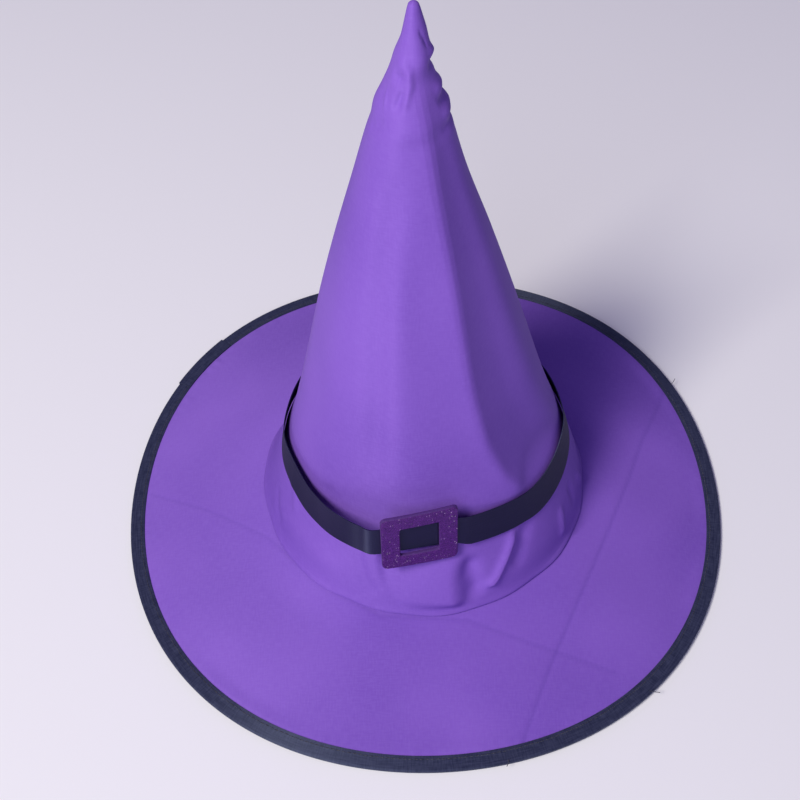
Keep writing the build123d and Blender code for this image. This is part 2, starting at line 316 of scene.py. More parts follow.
# Polyester taffeta with a fused backing, plain woven: smooth, faint threads both ways, a soft pearly sheen.
taffeta = {
    "pale": "#865EC5",
    "deep": "#7A54BA",
    "fleck": "#9270D0",
    "paintedCreaseShade": "#5F42A0",         # painted shade along the packing creases
    "gloss": "#C7A2FF",
    "threadRun": 5.0,
    "threadPitch": 0.9,        # real threads stand 0.15 mm apart, drawn six times as coarse so that they show
}
polyesterTaffeta, tree, shader = newMaterial("polyesterTaffeta", Roughness=0.6, Anisotropic=0.85,
                                             Anisotropic_Rotation=0.25, IOR=1.5, Specular_IOR_Level=0.7)
clothGloss(tree, shader, taffeta["gloss"])
clothUv = addNode(tree, "ShaderNodeUVMap", uv_map="clothUv")
fine, coarse = 1000 / taffeta["threadPitch"], 1000 / taffeta["threadRun"]
warp = addNode(tree, "ShaderNodeMapping", {"Vector": clothUv, "Scale": (fine, coarse, 1)})
weft = addNode(tree, "ShaderNodeMapping", {"Vector": clothUv, "Scale": (coarse, fine, 1)})
warpNoise = addNode(tree, "ShaderNodeTexNoise", {"Vector": warp, "Scale": 1.0, "Detail": 2.0})
weftNoise = addNode(tree, "ShaderNodeTexNoise", {"Vector": weft, "Scale": 1.0, "Detail": 2.0})
threads = addNode(tree, "ShaderNodeMath", {0: warpNoise, 1: weftNoise}, operation="ADD")
place = addNode(tree, "ShaderNodeTexCoord").outputs["Object"]
dye = addNode(tree, "ShaderNodeTexNoise", {"Vector": place, "Scale": 11.0, "Detail": 2.0, "Roughness": 0.5})
dyeShare = addNode(tree, "ShaderNodeMapRange", {"Value": dye, "From Min": 0.35, "From Max": 0.65})
dyed = addNode(tree, "ShaderNodeMix",
               {"Factor": dyeShare, 6: linear(taffeta["deep"]), 7: linear(taffeta["pale"])},
               data_type="RGBA")
threadShare = addNode(tree, "ShaderNodeMapRange",
                      {"Value": threads, "From Min": 0.8, "From Max": 1.5, "To Max": 0.35})
woven = addNode(tree, "ShaderNodeMix",
                {"Factor": threadShare, 6: dyed.outputs[2], 7: linear(taffeta["fleck"])},
                data_type="RGBA")
# painted shade: the taffeta is mixed darker where the brim's packing creases run
paintedCreaseShade = addNode(tree, "ShaderNodeAttribute", attribute_name="crease")
creased = addNode(tree, "ShaderNodeMix",
                  {"Factor": paintedCreaseShade.outputs["Fac"], 6: woven.outputs[2], 7: linear(taffeta["paintedCreaseShade"])},
                  data_type="RGBA")
tree.links.new(creased.outputs[2], shader.inputs["Base Color"])
weaveBump = addNode(tree, "ShaderNodeBump", {"Height": threads, "Strength": 0.10, "Distance": 0.0004})
tree.links.new(weaveBump.outputs[0], shader.inputs["Normal"])

# Spun-bonded polypropylene: matt white felt of fibres, welded in a close grid of small points.
bonding = {"fibre": "#DEDDD8", "weld": "#C9C8C2", "pitch": 1.6}
spunBonded, tree, shader = newMaterial("spunBondedLiner", Roughness=0.92, Sheen_Weight=0.15)
clothUv = addNode(tree, "ShaderNodeUVMap", uv_map="clothUv")
turned = addNode(tree, "ShaderNodeMapping", {"Vector": clothUv, "Rotation": (0, 0, math.radians(45)),
                                             "Scale": (1000 / bonding["pitch"],) * 3})
welds = addNode(tree, "ShaderNodeTexVoronoi", {"Vector": turned, "Scale": 1.0, "Randomness": 0.0})
weldShare = addNode(tree, "ShaderNodeMapRange",
                    {"Value": welds.outputs["Distance"], "From Min": 0.22, "From Max": 0.40})
fibres = addNode(tree, "ShaderNodeTexNoise",
                 {"Vector": clothUv, "Scale": 900.0, "Detail": 4.0, "Distortion": 1.5})
felt = addNode(tree, "ShaderNodeMath", {0: weldShare, 1: fibres}, operation="ADD")
dressSurface(tree, shader, weldShare, (bonding["weld"], bonding["fibre"]), felt, 0.5, 0.0003)


def cellularMaterial(name, roughness, cellScale, colours, strength, distance):
    # Foam sheet: matt, with small cells that are paler at their edges.
    material, tree, shader = newMaterial(name, Roughness=roughness)
    place = addNode(tree, "ShaderNodeTexCoord").outputs["Object"]
    cells = addNode(tree, "ShaderNodeTexVoronoi", {"Vector": place, "Scale": cellScale})
    depth = cells.outputs["Distance"]
    dressSurface(tree, shader, depth, colours, depth, strength, distance)
    return material


# Polyurethane foam sheet: dull off-white with open cells.
cutFoam = cellularMaterial("polyurethaneFoamSheet", 0.95, 1100.0, ("#D2D0C6", "#E6E4DC"), 0.4, 0.0004)
# EVA foam sheet, die cut: matt, tiny closed cells on the cut sides, a little paler there.
evaFoam = cellularMaterial("dieCutEvaFoam", 0.72, 1600.0, ("#3C1860", "#542E7C"), 0.3, 0.0002)


def satinMaterial(name, colours, sheenColour, roughness, ribPitch, sheen, index):
    # Polyester satin tape, woven with long floats: dark face on, with a broad bluish shine towards the light.
    material, tree, shader = newMaterial(name, Roughness=roughness, Sheen_Weight=sheen, Sheen_Roughness=0.3,
                                         IOR=index,
                                         Anisotropic=0.95, Anisotropic_Rotation=0.25, Specular_IOR_Level=0.8)
    clothGloss(tree, shader, sheenColour)
    shader.inputs["Sheen Tint"].default_value = linear(sheenColour)
    tapeUv = addNode(tree, "ShaderNodeUVMap", uv_map="clothUv")
    ribMap = addNode(tree, "ShaderNodeMapping", {"Vector": tapeUv, "Scale": (1000 / ribPitch, 1000 / 6, 1)})
    ribs = addNode(tree, "ShaderNodeTexNoise", {"Vector": ribMap, "Scale": 1.0, "Detail": 3.0})
    floatMap = addNode(tree, "ShaderNodeMapping", {"Vector": tapeUv, "Scale": (1000 / 9, 1000 / 0.8, 1)})
    floats = addNode(tree, "ShaderNodeTexNoise", {"Vector": floatMap, "Scale": 1.0, "Detail": 2.0})
    height = addNode(tree, "ShaderNodeMath", {0: ribs, 1: floats}, operation="ADD")
    share = addNode(tree, "ShaderNodeMapRange", {"Value": height, "From Min": 0.75, "From Max": 1.25})
    dressSurface(tree, shader, share, colours, height, 0.22, 0.0003)
    return material


tapeSatin = satinMaterial("polyesterSatinTape", ("#252940", "#3C4058"), "#A9B6D8", 0.55, 0.7, 0.35, 1.5)
ribbonSatin = satinMaterial("polyesterSatinRibbon", ("#0A0520", "#10082A"), "#B4BEF4", 0.46, 0.5, 0.0, 1.6)

# Cotton and polyester tape in herringbone: matt black, its twill lines turning every few millimetres.
herringbone = {"colours": ("#131217", "#2A2830"), "stripe": 6.0, "twill": 1.1}
wovenTape, tree, shader = newMaterial("herringboneCottonTape", Roughness=0.88, Sheen_Weight=0.25)
parts = addNode(tree, "ShaderNodeSeparateXYZ", {"Vector": addNode(tree, "ShaderNodeUVMap", uv_map="clothUv")})
stripe = addNode(tree, "ShaderNodeMath", {0: parts.outputs[1], 1: herringbone["stripe"] * mm},
                 operation="PINGPONG")
slant = addNode(tree, "ShaderNodeMath", {0: parts, 1: stripe}, operation="ADD")
twill = addNode(tree, "ShaderNodeMath", {0: slant, 1: herringbone["twill"] * mm / 2}, operation="PINGPONG")
twillShare = addNode(tree, "ShaderNodeMapRange", {"Value": twill, "From Max": herringbone["twill"] * mm / 2})
dressSurface(tree, shader, twillShare, herringbone["colours"], twillShare, 0.5, 0.0004)

# Spun polyester thread, two strands twisted: dull, with a slanting twist line every millimetre.
spunThread, tree, shader = newMaterial("spunPolyesterThread", Roughness=0.68, Sheen_Weight=0.3)
place = addNode(tree, "ShaderNodeTexCoord").outputs["Object"]
twist = addNode(tree, "ShaderNodeTexWave", {"Vector": place, "Scale": 320.0, "Distortion": 1.0},
                bands_direction="DIAGONAL").outputs["Fac"]
dressSurface(tree, shader, twist, ("#171827", "#33364C"), twist, 0.5, 0.0002)


def drawnMetal(name, colours, roughness):
    # Drawn wire and tube: bright metal with fine lines and dull patches of oil and oxide.
    material, tree, shader = newMaterial(name, Metallic=1.0, Roughness=roughness)
    place = addNode(tree, "ShaderNodeTexCoord").outputs["Object"]
    patches = addNode(tree, "ShaderNodeTexNoise", {"Vector": place, "Scale": 260.0, "Detail": 4.0})
    dressSurface(tree, shader, patches, colours, patches, 0.2, 0.0001)
    return material


springSteel = drawnMetal("drawnSpringSteel", ("#6E6E72", "#8C8C92"), 0.34)
crimpedAluminium = drawnMetal("crimpedAluminiumTube", ("#A6A6AA", "#C4C4C8"), 0.38)

# Glitter film, fine flakes in clear varnish: a grainy purple that sparkles in single points.
glitterFilm, tree, shader = newMaterial("glitterVarnishFilm", Roughness=0.46, Metallic=0.1,
                                        Specular_IOR_Level=0.3)
place = addNode(tree, "ShaderNodeTexCoord").outputs["Object"]
grains = addNode(tree, "ShaderNodeTexVoronoi", {"Vector": place, "Scale": 1500.0})
grainParts = addNode(tree, "ShaderNodeSeparateColor", {"Color": grains.outputs["Color"]})
dressSurface(tree, shader, grainParts, ("#3E1460", "#5C267E"), grainParts.outputs[1], 0.5, 0.0002)


def flakeMaterial(name, colours, metallic, roughness):
    # Metallised polyester flake, punched in hexagons: a small mirror with a tinted lacquer.
    material, tree, shader = newMaterial(name, Metallic=metallic, Roughness=roughness)
    place = addNode(tree, "ShaderNodeTexCoord").outputs["Object"]
    cell = addNode(tree, "ShaderNodeVectorMath", {0: place, 1: (0.0006,) * 3}, operation="SNAP")
    tint = addNode(tree, "ShaderNodeTexWhiteNoise", {"Vector": cell})
    dressSurface(tree, shader, tint, colours)
    return material


purpleFlake = flakeMaterial("purpleGlitterFlake", ("#4A1C70", "#7A3CA6"), 0.7, 0.3)
# painted glints: a few flakes coloured near white to stand for the glitter's sparkle
paintedGlintFlake = flakeMaterial("paintedGlintFlakeFinish", ("#E6C4EE", "#FFF0FF"), 0.35, 0.2)

# Set hot-melt glue: milky, half clear, with a wet shine.
setGlue, tree, shader = newMaterial("setHotMeltGlue", Roughness=0.22, Subsurface_Weight=0.35,
                                    Subsurface_Radius=(0.002, 0.002, 0.0015))
place = addNode(tree, "ShaderNodeTexCoord").outputs["Object"]
clouds = addNode(tree, "ShaderNodeTexNoise", {"Vector": place, "Scale": 300.0, "Detail": 2.0})
dressSurface(tree, shader, clouds, ("#D8D0BC", "#EEE8DA"))
print("materials made")


# crown

crown = {
    "seamHeight": 18.5,
    "tipRadius": 3.0,
    "thickness": 0.4,
    "filledPoint": 10.0,       # turned seam edges fill the point this far down
    "columns": 256,
    "frontShare": 0.35,        # how much closer the columns stand at the front
    "linerTop": 294.0,
    "linerBottom": 21.5,
    # height, and how far the cloth stands in or out of the plain cone
    "waist": [(18, 0.0), (40, -0.6), (62, -1.8), (84, -3.0), (110, -3.1), (145, -2.3), (185, -1.3),
              (225, -1.0),
              (270, -1.3), (295, -0.7), (310, -0.5), (325, -1.9), (338, -1.2), (350, -0.6), (360, -0.1)],
    # height, and how far the crown leans to +X
    "lean": [(18, 0.9), (50, 1.5), (75, 1.5), (105, 0.6), (145, -0.5), (185, -1.9), (225, -2.9), (275, -3.9),
             (310, -3.2), (326, -2.8), (342, -0.9), (360, -1.0)],
}
# each fold: its line (azimuth, height) on the cloth, reach across, how far out, fade at the ends, shape
crownFolds = [
    (((-19, 300), (-22, 262), (-25, 220), (-23, 160), (-23, 96)), 8.0, -2.2, 40.0, "roll"),
    (((-60, 270), (-54, 200), (-52, 110)), 14.0, 0.8, 50.0, "roll"),
    (((12, 345), (16, 328), (21, 315), (24, 302), (27, 272), (27, 220), (27, 160), (30, 126), (36, 101),
      (45, 80)), 8.0, 2.4, 14.0, "corner"),
    (((35, 64), (30, 51), (24, 37), (20, 30)), 2.4, 3.4, 7.0, "pinch"),
    (((43, 64), (36, 48), (31, 34)), 5.0, -1.8, 9.0, "roll"),
    (((16, 60), (15, 44), (17, 30), (19, 23)), 5.5, -3.6, 12.0, "roll"),
    (((-28, 66), (-27, 50), (-23, 36), (-17, 26)), 4.0, -1.3, 9.0, "roll"),
    (((60, 50), (57, 24)), 2.4, 1.8, 8.0, "pinch"),
    (((70, 52), (70, 30)), 3.0, -1.6, 8.0, "pinch"),
    (((78, 44), (84, 24)), 2.6, 1.8, 6.0, "pinch"),
    (((-66, 66), (-58, 46)), 3.0, 1.4, 8.0, "pinch"),
    (((-78, 44), (-64, 26)), 4.0, -1.2, 8.0, "roll"),
    (((-80, 34), (-50, 40), (-30, 36)), 8.0, 1.4, 16.0, "roll"),
    (((-50, 86), (-43, 76)), 7.0, -1.5, 8.0, "roll"),
    (((-56, 328), (-30, 327.5), (-13, 326)), 2.0, -1.5, 4.0, "roll"),
    (((-62, 334), (-30, 334), (-7, 331), (-1, 325), (-9, 320), (-16, 314)), 2.0, 1.1, 5.0, "roll"),
    (((-10, 324), (-24, 317), (-31, 312)), 2.4, -1.4, 5.0, "roll"),
    (((-60, 316), (-48, 317)), 4.0, 0.9, 2.0, "roll"),
    (((-75, 300), (-55, 303), (-48, 309)), 2.6, -0.7, 4.0, "roll"),
    (((13, 349), (60, 340)), 1.1, -1.0, 3.0, "pinch"),
    (((46, 337), (130, 336)), 2.0, 1.2, 5.0, "roll"),
    (((44, 331.5), (130, 330)), 2.0, -1.4, 5.0, "roll"),
    (((50, 319), (130, 320)), 2.8, 1.5, 6.0, "roll"),
    (((52, 313), (130, 314)), 2.0, -1.2, 6.0, "roll"),
    (((54, 307), (130, 308)), 2.6, 1.4, 6.0, "roll"),
    (((46, 301), (130, 302)), 2.2, -0.9, 6.0, "roll"),
]
# the cloth lies flat on both sides of one corner: height and azimuth along it, and each flat's reach round
rightCorner = [(66, 49), (80, 45), (101, 36), (127, 30), (161, 27), (220, 27.5), (273, 27), (302, 24),
               (316, 21), (337, 14)]
crownFacets = [
    {"reach": 46.0, "flatness": 0.95, "low": 66.0, "high": 335.0},
    {"reach": -48.0, "flatness": 0.40, "low": 84.0, "high": 322.0},
]
cornerRound = 3.0              # length of cloth that rounds the corner, mm
# the broad tuck under the buckle: height and azimuth of its left edge, and how far it rises
tuck = {
    "left": [(20, -7), (28.5, -12), (38, -17), (52, -20), (66, -20)],
    "right": [(20, 13), (34, 10.5), (46, 10), (60, 12)],
    "top": 58.0,
    "rise": 5.4,
    "flare": 5.0,
    "leftStep": 3.2,           # degrees that its left edge takes to rise
}
crownBase = boxOf("crown_shell")[1][0]
crownTop = boxOf("crown_tip")[1][2]
pointCentre = crownTop - crown["tipRadius"]
pointRise = pointCentre - crown["seamHeight"]
halfAngle = math.atan2(crownBase,
                       pointRise) - math.asin(crown["tipRadius"] / math.hypot(crownBase, pointRise))
coneSlope = math.tan(halfAngle)


def plainRadius(z):
    cone = crownBase - (z - crown["seamHeight"]) * coneSlope
    ball = np.sqrt(np.maximum(crown["tipRadius"] ** 2 - (z - pointCentre) ** 2, 0.0))
    return np.where(z > pointCentre + crown["tipRadius"] * math.sin(halfAngle), ball, cone)


def foldHeight(fold, azimuth, z):
    # a fold follows a line of points on the unrolled cloth
    line, reach, out, fade, form = fold
    middle = line[len(line) // 2][0]
    away = (azimuth - middle + 180) % 360 - 180
    across = np.radians(away) * plainRadius(z)
    flat = [(math.radians(a - middle) * float(plainRadius(h)), h) for a, h in line]
    best = np.full(across.shape, 1e6)
    along = np.zeros(across.shape)
    passed = 0.0
    for (au, az), (bu, bz) in zip(flat[:-1], flat[1:]):
        length = math.hypot(bu - au, bz - az)
        t = np.clip(((across - au) * (bu - au) + (z - az) * (bz - az)) / length ** 2, 0, 1)
        distance = np.hypot(across - au - t * (bu - au), z - az - t * (bz - az))
        along = np.where(distance < best, passed + t * length, along)
        best = np.minimum(best, distance)
        passed += length
    if form == "pinch":
        shape = 1 / (1 + (best / reach) ** 2 * (1 + best / reach))
    elif form == "corner":
        shape = np.exp(-(np.sqrt(best ** 2 + 4) - 2) / reach) * np.minimum(1, plainRadius(z) / 40)
    else:
        shape = hill(best, reach)
    return out * shape * ease(along / fade) * ease((passed - along) / fade) * (np.abs(away) < 120)


def facetDepth(facet, azimuth, z):
    # a chord from the corner to the middle of the flat, then a soft return to the round
    half = math.radians(abs(facet["reach"])) / 2
    total = 0.0
    for shift in (-1, 0, 1):
        corner = smoothCurve(rightCorner, z) + shift * np.degrees(cornerRound / np.maximum(plainRadius(z), 6))
        away = np.radians((azimuth - corner + 180) % 360 - 180) * np.sign(facet["reach"]) - half
        chord = math.cos(half) / np.cos(np.clip(away, -half, half)) - 1
        soft = (math.cos(half) - 1) * (1 - np.clip(away / half, 0, 1) ** 2) ** 2
        total = total + np.where(away < 0, chord, soft) / 3
    ends = ease((z - facet["low"]) / 30) * ease((facet["high"] - z) / 25)
    return facet["flatness"] * total * plainRadius(z) * ends


def tuckHeight(azimuth, z):
    # cloth pushed to the right and out over the foot, so that it faces the window
    left = smoothCurve(tuck["left"], z)
    right = smoothCurve(tuck["right"], z)
    share = (azimuth - left) / (right - left)
    inside = ease((azimuth - left) / tuck["leftStep"]) * ease((right + 3.5 - azimuth) / 7)
    inside = inside * ease((tuck["top"] + 8 - z) / 10)
    lift = (z - 20) / (tuck["top"] - 20)
    return inside * (tuck["rise"] * (share - 0.35) + tuck["flare"] * (0.6 - lift)) * (np.abs(azimuth) < 60)


# how far out, waves round the crown, where they start, height per radian, and where they fade in and out
slackWaves = [(0.35, 5, 0.9, 70, 40, 60, 300, 80), (0.25, 9, -0.4, 45, 30, 40, 280, 120)]
bandPress = {"height": 75.0, "reach": 8.0, "share": 0.85}


def crownRelief(azimuth, z):
    radius = plainRadius(z)
    around = np.radians(azimuth)
    total = np.zeros_like(radius * azimuth)
    for facet in crownFacets:
        total = total + facetDepth(facet, azimuth, z)
    for fold in crownFolds:
        total = total + foldHeight(fold, *np.broadcast_arrays(azimuth, z))
    total = total + tuckHeight((azimuth + 180) % 360 - 180, z)
    pressed = bandPress["share"] * hill(z - bandPress["height"], bandPress["reach"])
    total = total * (1 - pressed)          # the band holds the cloth flat
    # slack cloth: long soft waves that follow the cone, and small crumples above the liner
    for out, count, start, rise, low, lowFade, high, highFade in slackWaves:
        wave = out * np.sin(count * around + start + z / rise)
        total = total + wave * ease((z - low) / lowFade) * ease((high - z) / highFade)
    crumple = softWaves(around * 9, z, 11, 9, 13)
    total = total + 0.22 * crumple * ease((z - 290) / 12) * ease((352 - z) / 10)
    # the back seam pulls the cloth in, with small puckers
    fromSeam = np.abs((azimuth + 360) % 360 - 180) * math.pi / 180 * radius
    seam = -0.9 * hill(fromSeam,
                       1.2) - 0.35 * hill(fromSeam, 5.0) * (1 + np.sin(z / 1.9 + 2 * np.sin(z / 17)))
    return total * ease((z - 21) / 10) + seam * ease((z - 19) / 6) * ease((354 - z) / 6)


def crownPoint(azimuth, z, inset=0.0):
    radius = plainRadius(z) + smoothCurve(crown["waist"], z) + crownRelief(azimuth, z)
    radius = np.maximum(radius - inset, 0.0)
    around = np.radians(azimuth)
    lean = smoothCurve(crown["lean"], z) * ease((z - 19) / 20)
    return np.stack(np.broadcast_arrays(radius * np.sin(around) + lean, -radius * np.cos(around), z), -1)


def crownColumns(count, share):
    turn = (np.arange(count + 1) / count) * 2 * math.pi - math.pi
    return np.degrees(turn - share * np.sin(turn))


def heights(*stretches):
    parts = [np.linspace(low, high, steps, endpoint=False) for low, high, steps in stretches]
    return np.concatenate(parts + [[stretches[-1][1]]])


# radius and height of the turned hem and the rolled edge, from inside the opening out to the crown's foot
hemLow = boxOf("crown_shell")[0][2]
hemProfile = [(96.99, hemLow), (96.99, 12.5), (96.99, 17.3), (97.1, 18.85), (97.5, 19.2), (98.5, 19.02),
              (99.5, 18.84), (100.3, 18.70), (100.85, 18.78), (101.2, 19.25), (101.15, 19.95)]
innerHem = [(100.3, 20.3), (100.1, 19.35), (99.3, 19.28), (98.3, 19.46), (97.3, 19.62), (96.75, 19.4),
            (96.59, 18.6), (96.59, 12.5), (96.59, hemLow)]
edgeWave = 0.45                # how unevenly the crown's foot runs


def hemRing(radius, z, azimuth):
    share = ease((radius - 97.2) / 3)
    around = np.radians(azimuth)
    wave = edgeWave * share * (np.sin(7 * around + 1) + 0.7 * np.sin(16 * around))
    return np.stack([(radius + wave) * np.sin(around), -(radius + wave) * np.cos(around), z + 0 * around], -1)


def clothRows(azimuth, z, inset=0.0):
    return crownPoint(azimuth[None, :], z[:, None], inset)


def footRoll(z):
    return 0.75 * hill(z - 19.5, 3.2)


def makeCrownCloth():
    columns = crownColumns(crown["columns"], crown["frontShare"])
    azimuth = columns[:-1]
    outer = [hemRing(r, z, azimuth) for r, z in hemProfile]
    rising = heights((21.0, 70, 30), (70, 288, 92), (288, 356.5, 48))
    outerRows = clothRows(azimuth, rising, inset=-footRoll(rising)[:, None])
    dome = pointCentre + crown["tipRadius"] * np.sin(np.radians([32, 48, 64, 78]))
    domeRows = clothRows(azimuth, dome)
    innerZ = heights((crownTop - crown["filledPoint"] - 1, 288, 20), (288, 70, 60), (70, 22, 18))
    innerRows = clothRows(azimuth, innerZ, inset=crown["thickness"] * 1.04 - footRoll(innerZ)[:, None])
    inner = [hemRing(r, z, azimuth) for r, z in innerHem]
    rings = np.concatenate([outer, outerRows, domeRows, innerRows, inner])
    run = np.linalg.norm(np.diff(rings[:, 0], axis=0), axis=1)
    along = np.concatenate([[0], np.cumsum(run)])
    spread = np.radians(columns)[None, :] * np.maximum(np.hypot(rings[:, :1, 0], rings[:, :1, 1]), 4)
    uv = np.stack(np.broadcast_arrays(spread, along[:, None]), -1)
    outerCount = len(outer) + len(outerRows) + len(domeRows)
    leanTop = smoothCurve(crown["lean"], crownTop)
    leanInner = smoothCurve(crown["lean"], crownTop - crown["filledPoint"])
    poles = [(outerCount - 1, (leanTop, 0, crownTop), True),
             (outerCount, (leanInner, 0, crownTop - crown["filledPoint"]), False)]
    return ringPiece("crownCloth", rings, polyesterTaffeta, uv, gap=outerCount - 1, poles=poles,
                     sharpAngle=70)


crownCloth = makeCrownCloth()
linerInset = crown["thickness"] + 0.3
linerThickness = 0.8


def makeLiner():
    columns = crownColumns(crown["columns"], crown["frontShare"])
    z = heights((crown["linerBottom"], crown["linerTop"], 110))
    outer = clothRows(columns[:-1], z, linerInset)
    inner = clothRows(columns[:-1], z[::-1], linerInset + linerThickness)
    rings = np.concatenate([outer, inner])
    spread = np.radians(columns)[None, :] * np.hypot(rings[:, :1, 0], rings[:, :1, 1])
    uv = np.stack(np.broadcast_arrays(spread, np.concatenate([z, z[::-1]])[:, None]), -1)
    return ringPiece("crownLiner", rings, spunBonded, uv)


crownLiner = makeLiner()
print("crown made")


# brim

brim = {
    "tapeWidth": 8.8,
    "rise": 0.1902,            # slope from the flat rim up to the opening
    "lobes": 2.2,              # the wire ring keeps four slight corners from being folded up
    "columns": 560,
}
edgeRadius = boxOf("brim_binding")[1][0]
rimRadius = edgeRadius - brim["tapeWidth"]
rimThickness = boxOf("brim_binding")[1][2]
plyEnd = boxOf("brim_top")[1][0]
# packing creases: points in plan, how deep, how wide
creases = [
    {"line": [(176, 98), (160, 60), (144, 28), (131, -4), (112, -45), (90, -90), (70, -130), (50, -176)],
     "deep": 0.22, "wide": 1.5},
    {"line": [(-176, 0), (-140, -17), (-99, -42), (-60, -78), (-28, -100), (25, -104), (60, -117),
              (108, -134)],
     "deep": 0.15, "wide": 1.4},
]


def edgeGrowth(angle, radius):
    # how far the brim's outline stands out of a circle, from nothing at the crown
    share = ease((radius - crownBase) / (edgeRadius - crownBase))
    wide = 0.25 - np.cos(4 * angle) + 0.3 * np.sin(2 * angle + 2.0)
    wide = wide - 0.3 * np.cos(2 * angle) + 0.15 * np.cos(angle)
    return share * brim["lobes"] * wide


def lineDistance(x, y, line):
    best = np.full(np.broadcast(x, y).shape, 1e9)
    for (ax, ay), (bx, by) in zip(line[:-1], line[1:]):
        t = np.clip(((x - ax) * (bx - ax) + (y - ay) * (by - ay)) / ((bx - ax) ** 2 + (by - ay) ** 2), 0, 1)
        best = np.minimum(best, np.hypot(x - ax - t * (bx - ax), y - ay - t * (by - ay)))
    return best


def creaseDepth(x, y):
    total = 0
    for crease in creases:
        total = total + crease["deep"] * hill(lineDistance(x, y, crease["line"]), crease["wide"])
    return total


def brimLift(angle, radius):
    radius = np.minimum(radius, rimRadius)  # across the tape the cloth stays flat
    x, y = radius * np.cos(angle), radius * np.sin(angle)
    calm = ease((rimRadius - radius) / 10)
    share = (radius - crownBase) / (edgeRadius - crownBase)
    inside = ease(share * 4) * calm
    lift = 0.9 * (1 - np.cos(4 * angle + 0.5)) * ease(share) * 0.6
    lift = lift + 0.55 * softWaves(x, y, 5, 6, 95) * inside
    # drag lines that run out from the crown's right front to the edge
    fan = np.degrees(angle) + 42
    broad = 0.55 * np.sin(fan * 0.62 + 0.9) * hill(fan, 13) * ease((share - 0.25) * 3)
    narrow = 0.30 * np.sin(fan * 1.15) * hill(fan - 4, 9) * ease((share - 0.55) * 4)
    lift = lift + (broad + narrow) * calm
    return lift


def tapePuckers(angle, radius):
    # the cloth gathers a little inside the tape, most beside the tape's lap
    fromTape = rimRadius - radius
    fromLap = (np.degrees(angle) - 146) % 360
    lapShare = hill(fromLap, 9) + hill(fromLap - 360, 9)
    waves = np.sin(angle * 150) * (0.5 + 0.5 * np.sin(angle * 23 + 1)) + 0.6 * np.sin(angle * 61) + 1.3
    return (0.10 + 0.35 * lapShare) * waves * hill(np.maximum(fromTape, 0), 5) * ease((fromTape + 0.5) / 1.5)


def plyPoint(angle, radius, rimZ, puckered=0.0):
    # a point of a brim ply at a plain radius, from its height in the flat rim
    grown = radius + edgeGrowth(angle, radius)
    x, y = grown * np.cos(angle), grown * np.sin(angle)
    z = rimZ + np.maximum(rimRadius - radius, 0) * brim["rise"] + brimLift(angle, radius)
    z = z - creaseDepth(x, y) * ease((rimRadius - radius) / 2 + 1) + puckered * tapePuckers(angle, radius)
    return np.stack(np.broadcast_arrays(x, y, z), -1)


def makePly(name, material, lip, columns, steps, puckered=0.0):
    inner, depth, thickness = plies[name]
    rimZ = rimThickness - depth
    angle = np.linspace(0, 2 * math.pi, columns + 1)
    ring = angle[:-1][None, :]
    upper = np.linspace(plyEnd, inner, steps)[:, None]
    lowerEnd = inner + thickness if lip else inner
    lower = np.linspace(lowerEnd, plyEnd, max(steps // 2, 4))[:, None]
    parts = [plyPoint(ring, upper, rimZ, puckered)]
    if lip:
        for radius in (inner, lowerEnd):
            lipPoints = plyPoint(ring, np.array([[radius]]), 0)
            lipPoints[..., 2] = hemLow
            parts.append(lipPoints)
    parts.append(plyPoint(ring, lower, rimZ - thickness, puckered))
    rings = np.concatenate(parts)
    uv = np.empty((len(rings), columns + 1, 2))
    uv[:, :-1] = rings[..., :2]
    uv[:, -1] = rings[:, 0, :2]
    piece = ringPiece(name, rings, material, uv, sharpAngle=60)
    points = rings.reshape(-1, 3)
    # painted shade along the packing creases, stored on the points for the taffeta to darken
    paintedCreaseShade = sum(1.4 * c["deep"] * hill(lineDistance(points[:, 0], points[:, 1], c["line"]), 1.0)
               for c in creases)
    piece.data.attributes.new("crease", "FLOAT", "POINT").data.foreach_set("value", paintedCreaseShade.astype(np.float32))
    return piece


# inner radius, depth below the tape's top face, thickness
plies = {"brimCloth": (97.14, 0.55, 0.4), "brimFoam": (98.24, 1.10, 1.2),
         "brimUnderCloth": (97.69, 2.45, 0.4)}
brimCloth = makePly("brimCloth", polyesterTaffeta, True, brim["columns"], 64, 1.0)
brimFoam = makePly("brimFoam", cutFoam, False, 320, 44)
brimUnderCloth = makePly("brimUnderCloth", polyesterTaffeta, True, 400, 40)
print("brim made")


# edge wire, ferrule, binding and its lap

edge = {
    "wireRadius": 0.8,
    "ferruleLength": 12.0,
    "lapAngle": 144.0,
    "lapLength": 46.0,
    "tapeThickness": 0.4,
    "foldRound": 1.0,
    "seamFromInner": 2.0,
    "seamWidth": 1.3,
    "puckerDepth": 0.16,
    "puckerPitch": 3.1,
    "gap": 0.15,               # air between tape, ferrule and lap
    "ferruleRadius": 1.1,
    "wireGap": 1.0,            # the wire's ends stand this far apart in the ferrule
    "threadRadius": 0.2,
}
wireRing = edgeRadius - edge["tapeThickness"] - edge["gap"] - edge["ferruleRadius"]


def edgePath(plainPlace, z, start, sweep, count, cyclic):
    turns = np.radians(start + sweep * np.arange(count) / (count if cyclic else count - 1))
    points = plyPoint(turns, np.full(count, plainPlace), 0)
    points[:, 2] = z + brimLift(turns, np.full(count, plainPlace))
    return pathCurve("edgeLine", points, cyclic)


def profileCurve(name, outline):
    holder = pathCurve(name, [(x, -y, 0) for x, y in outline])    # the sweep turns a section upside down
    holder.data.twist_mode = "MINIMUM"
    return holder


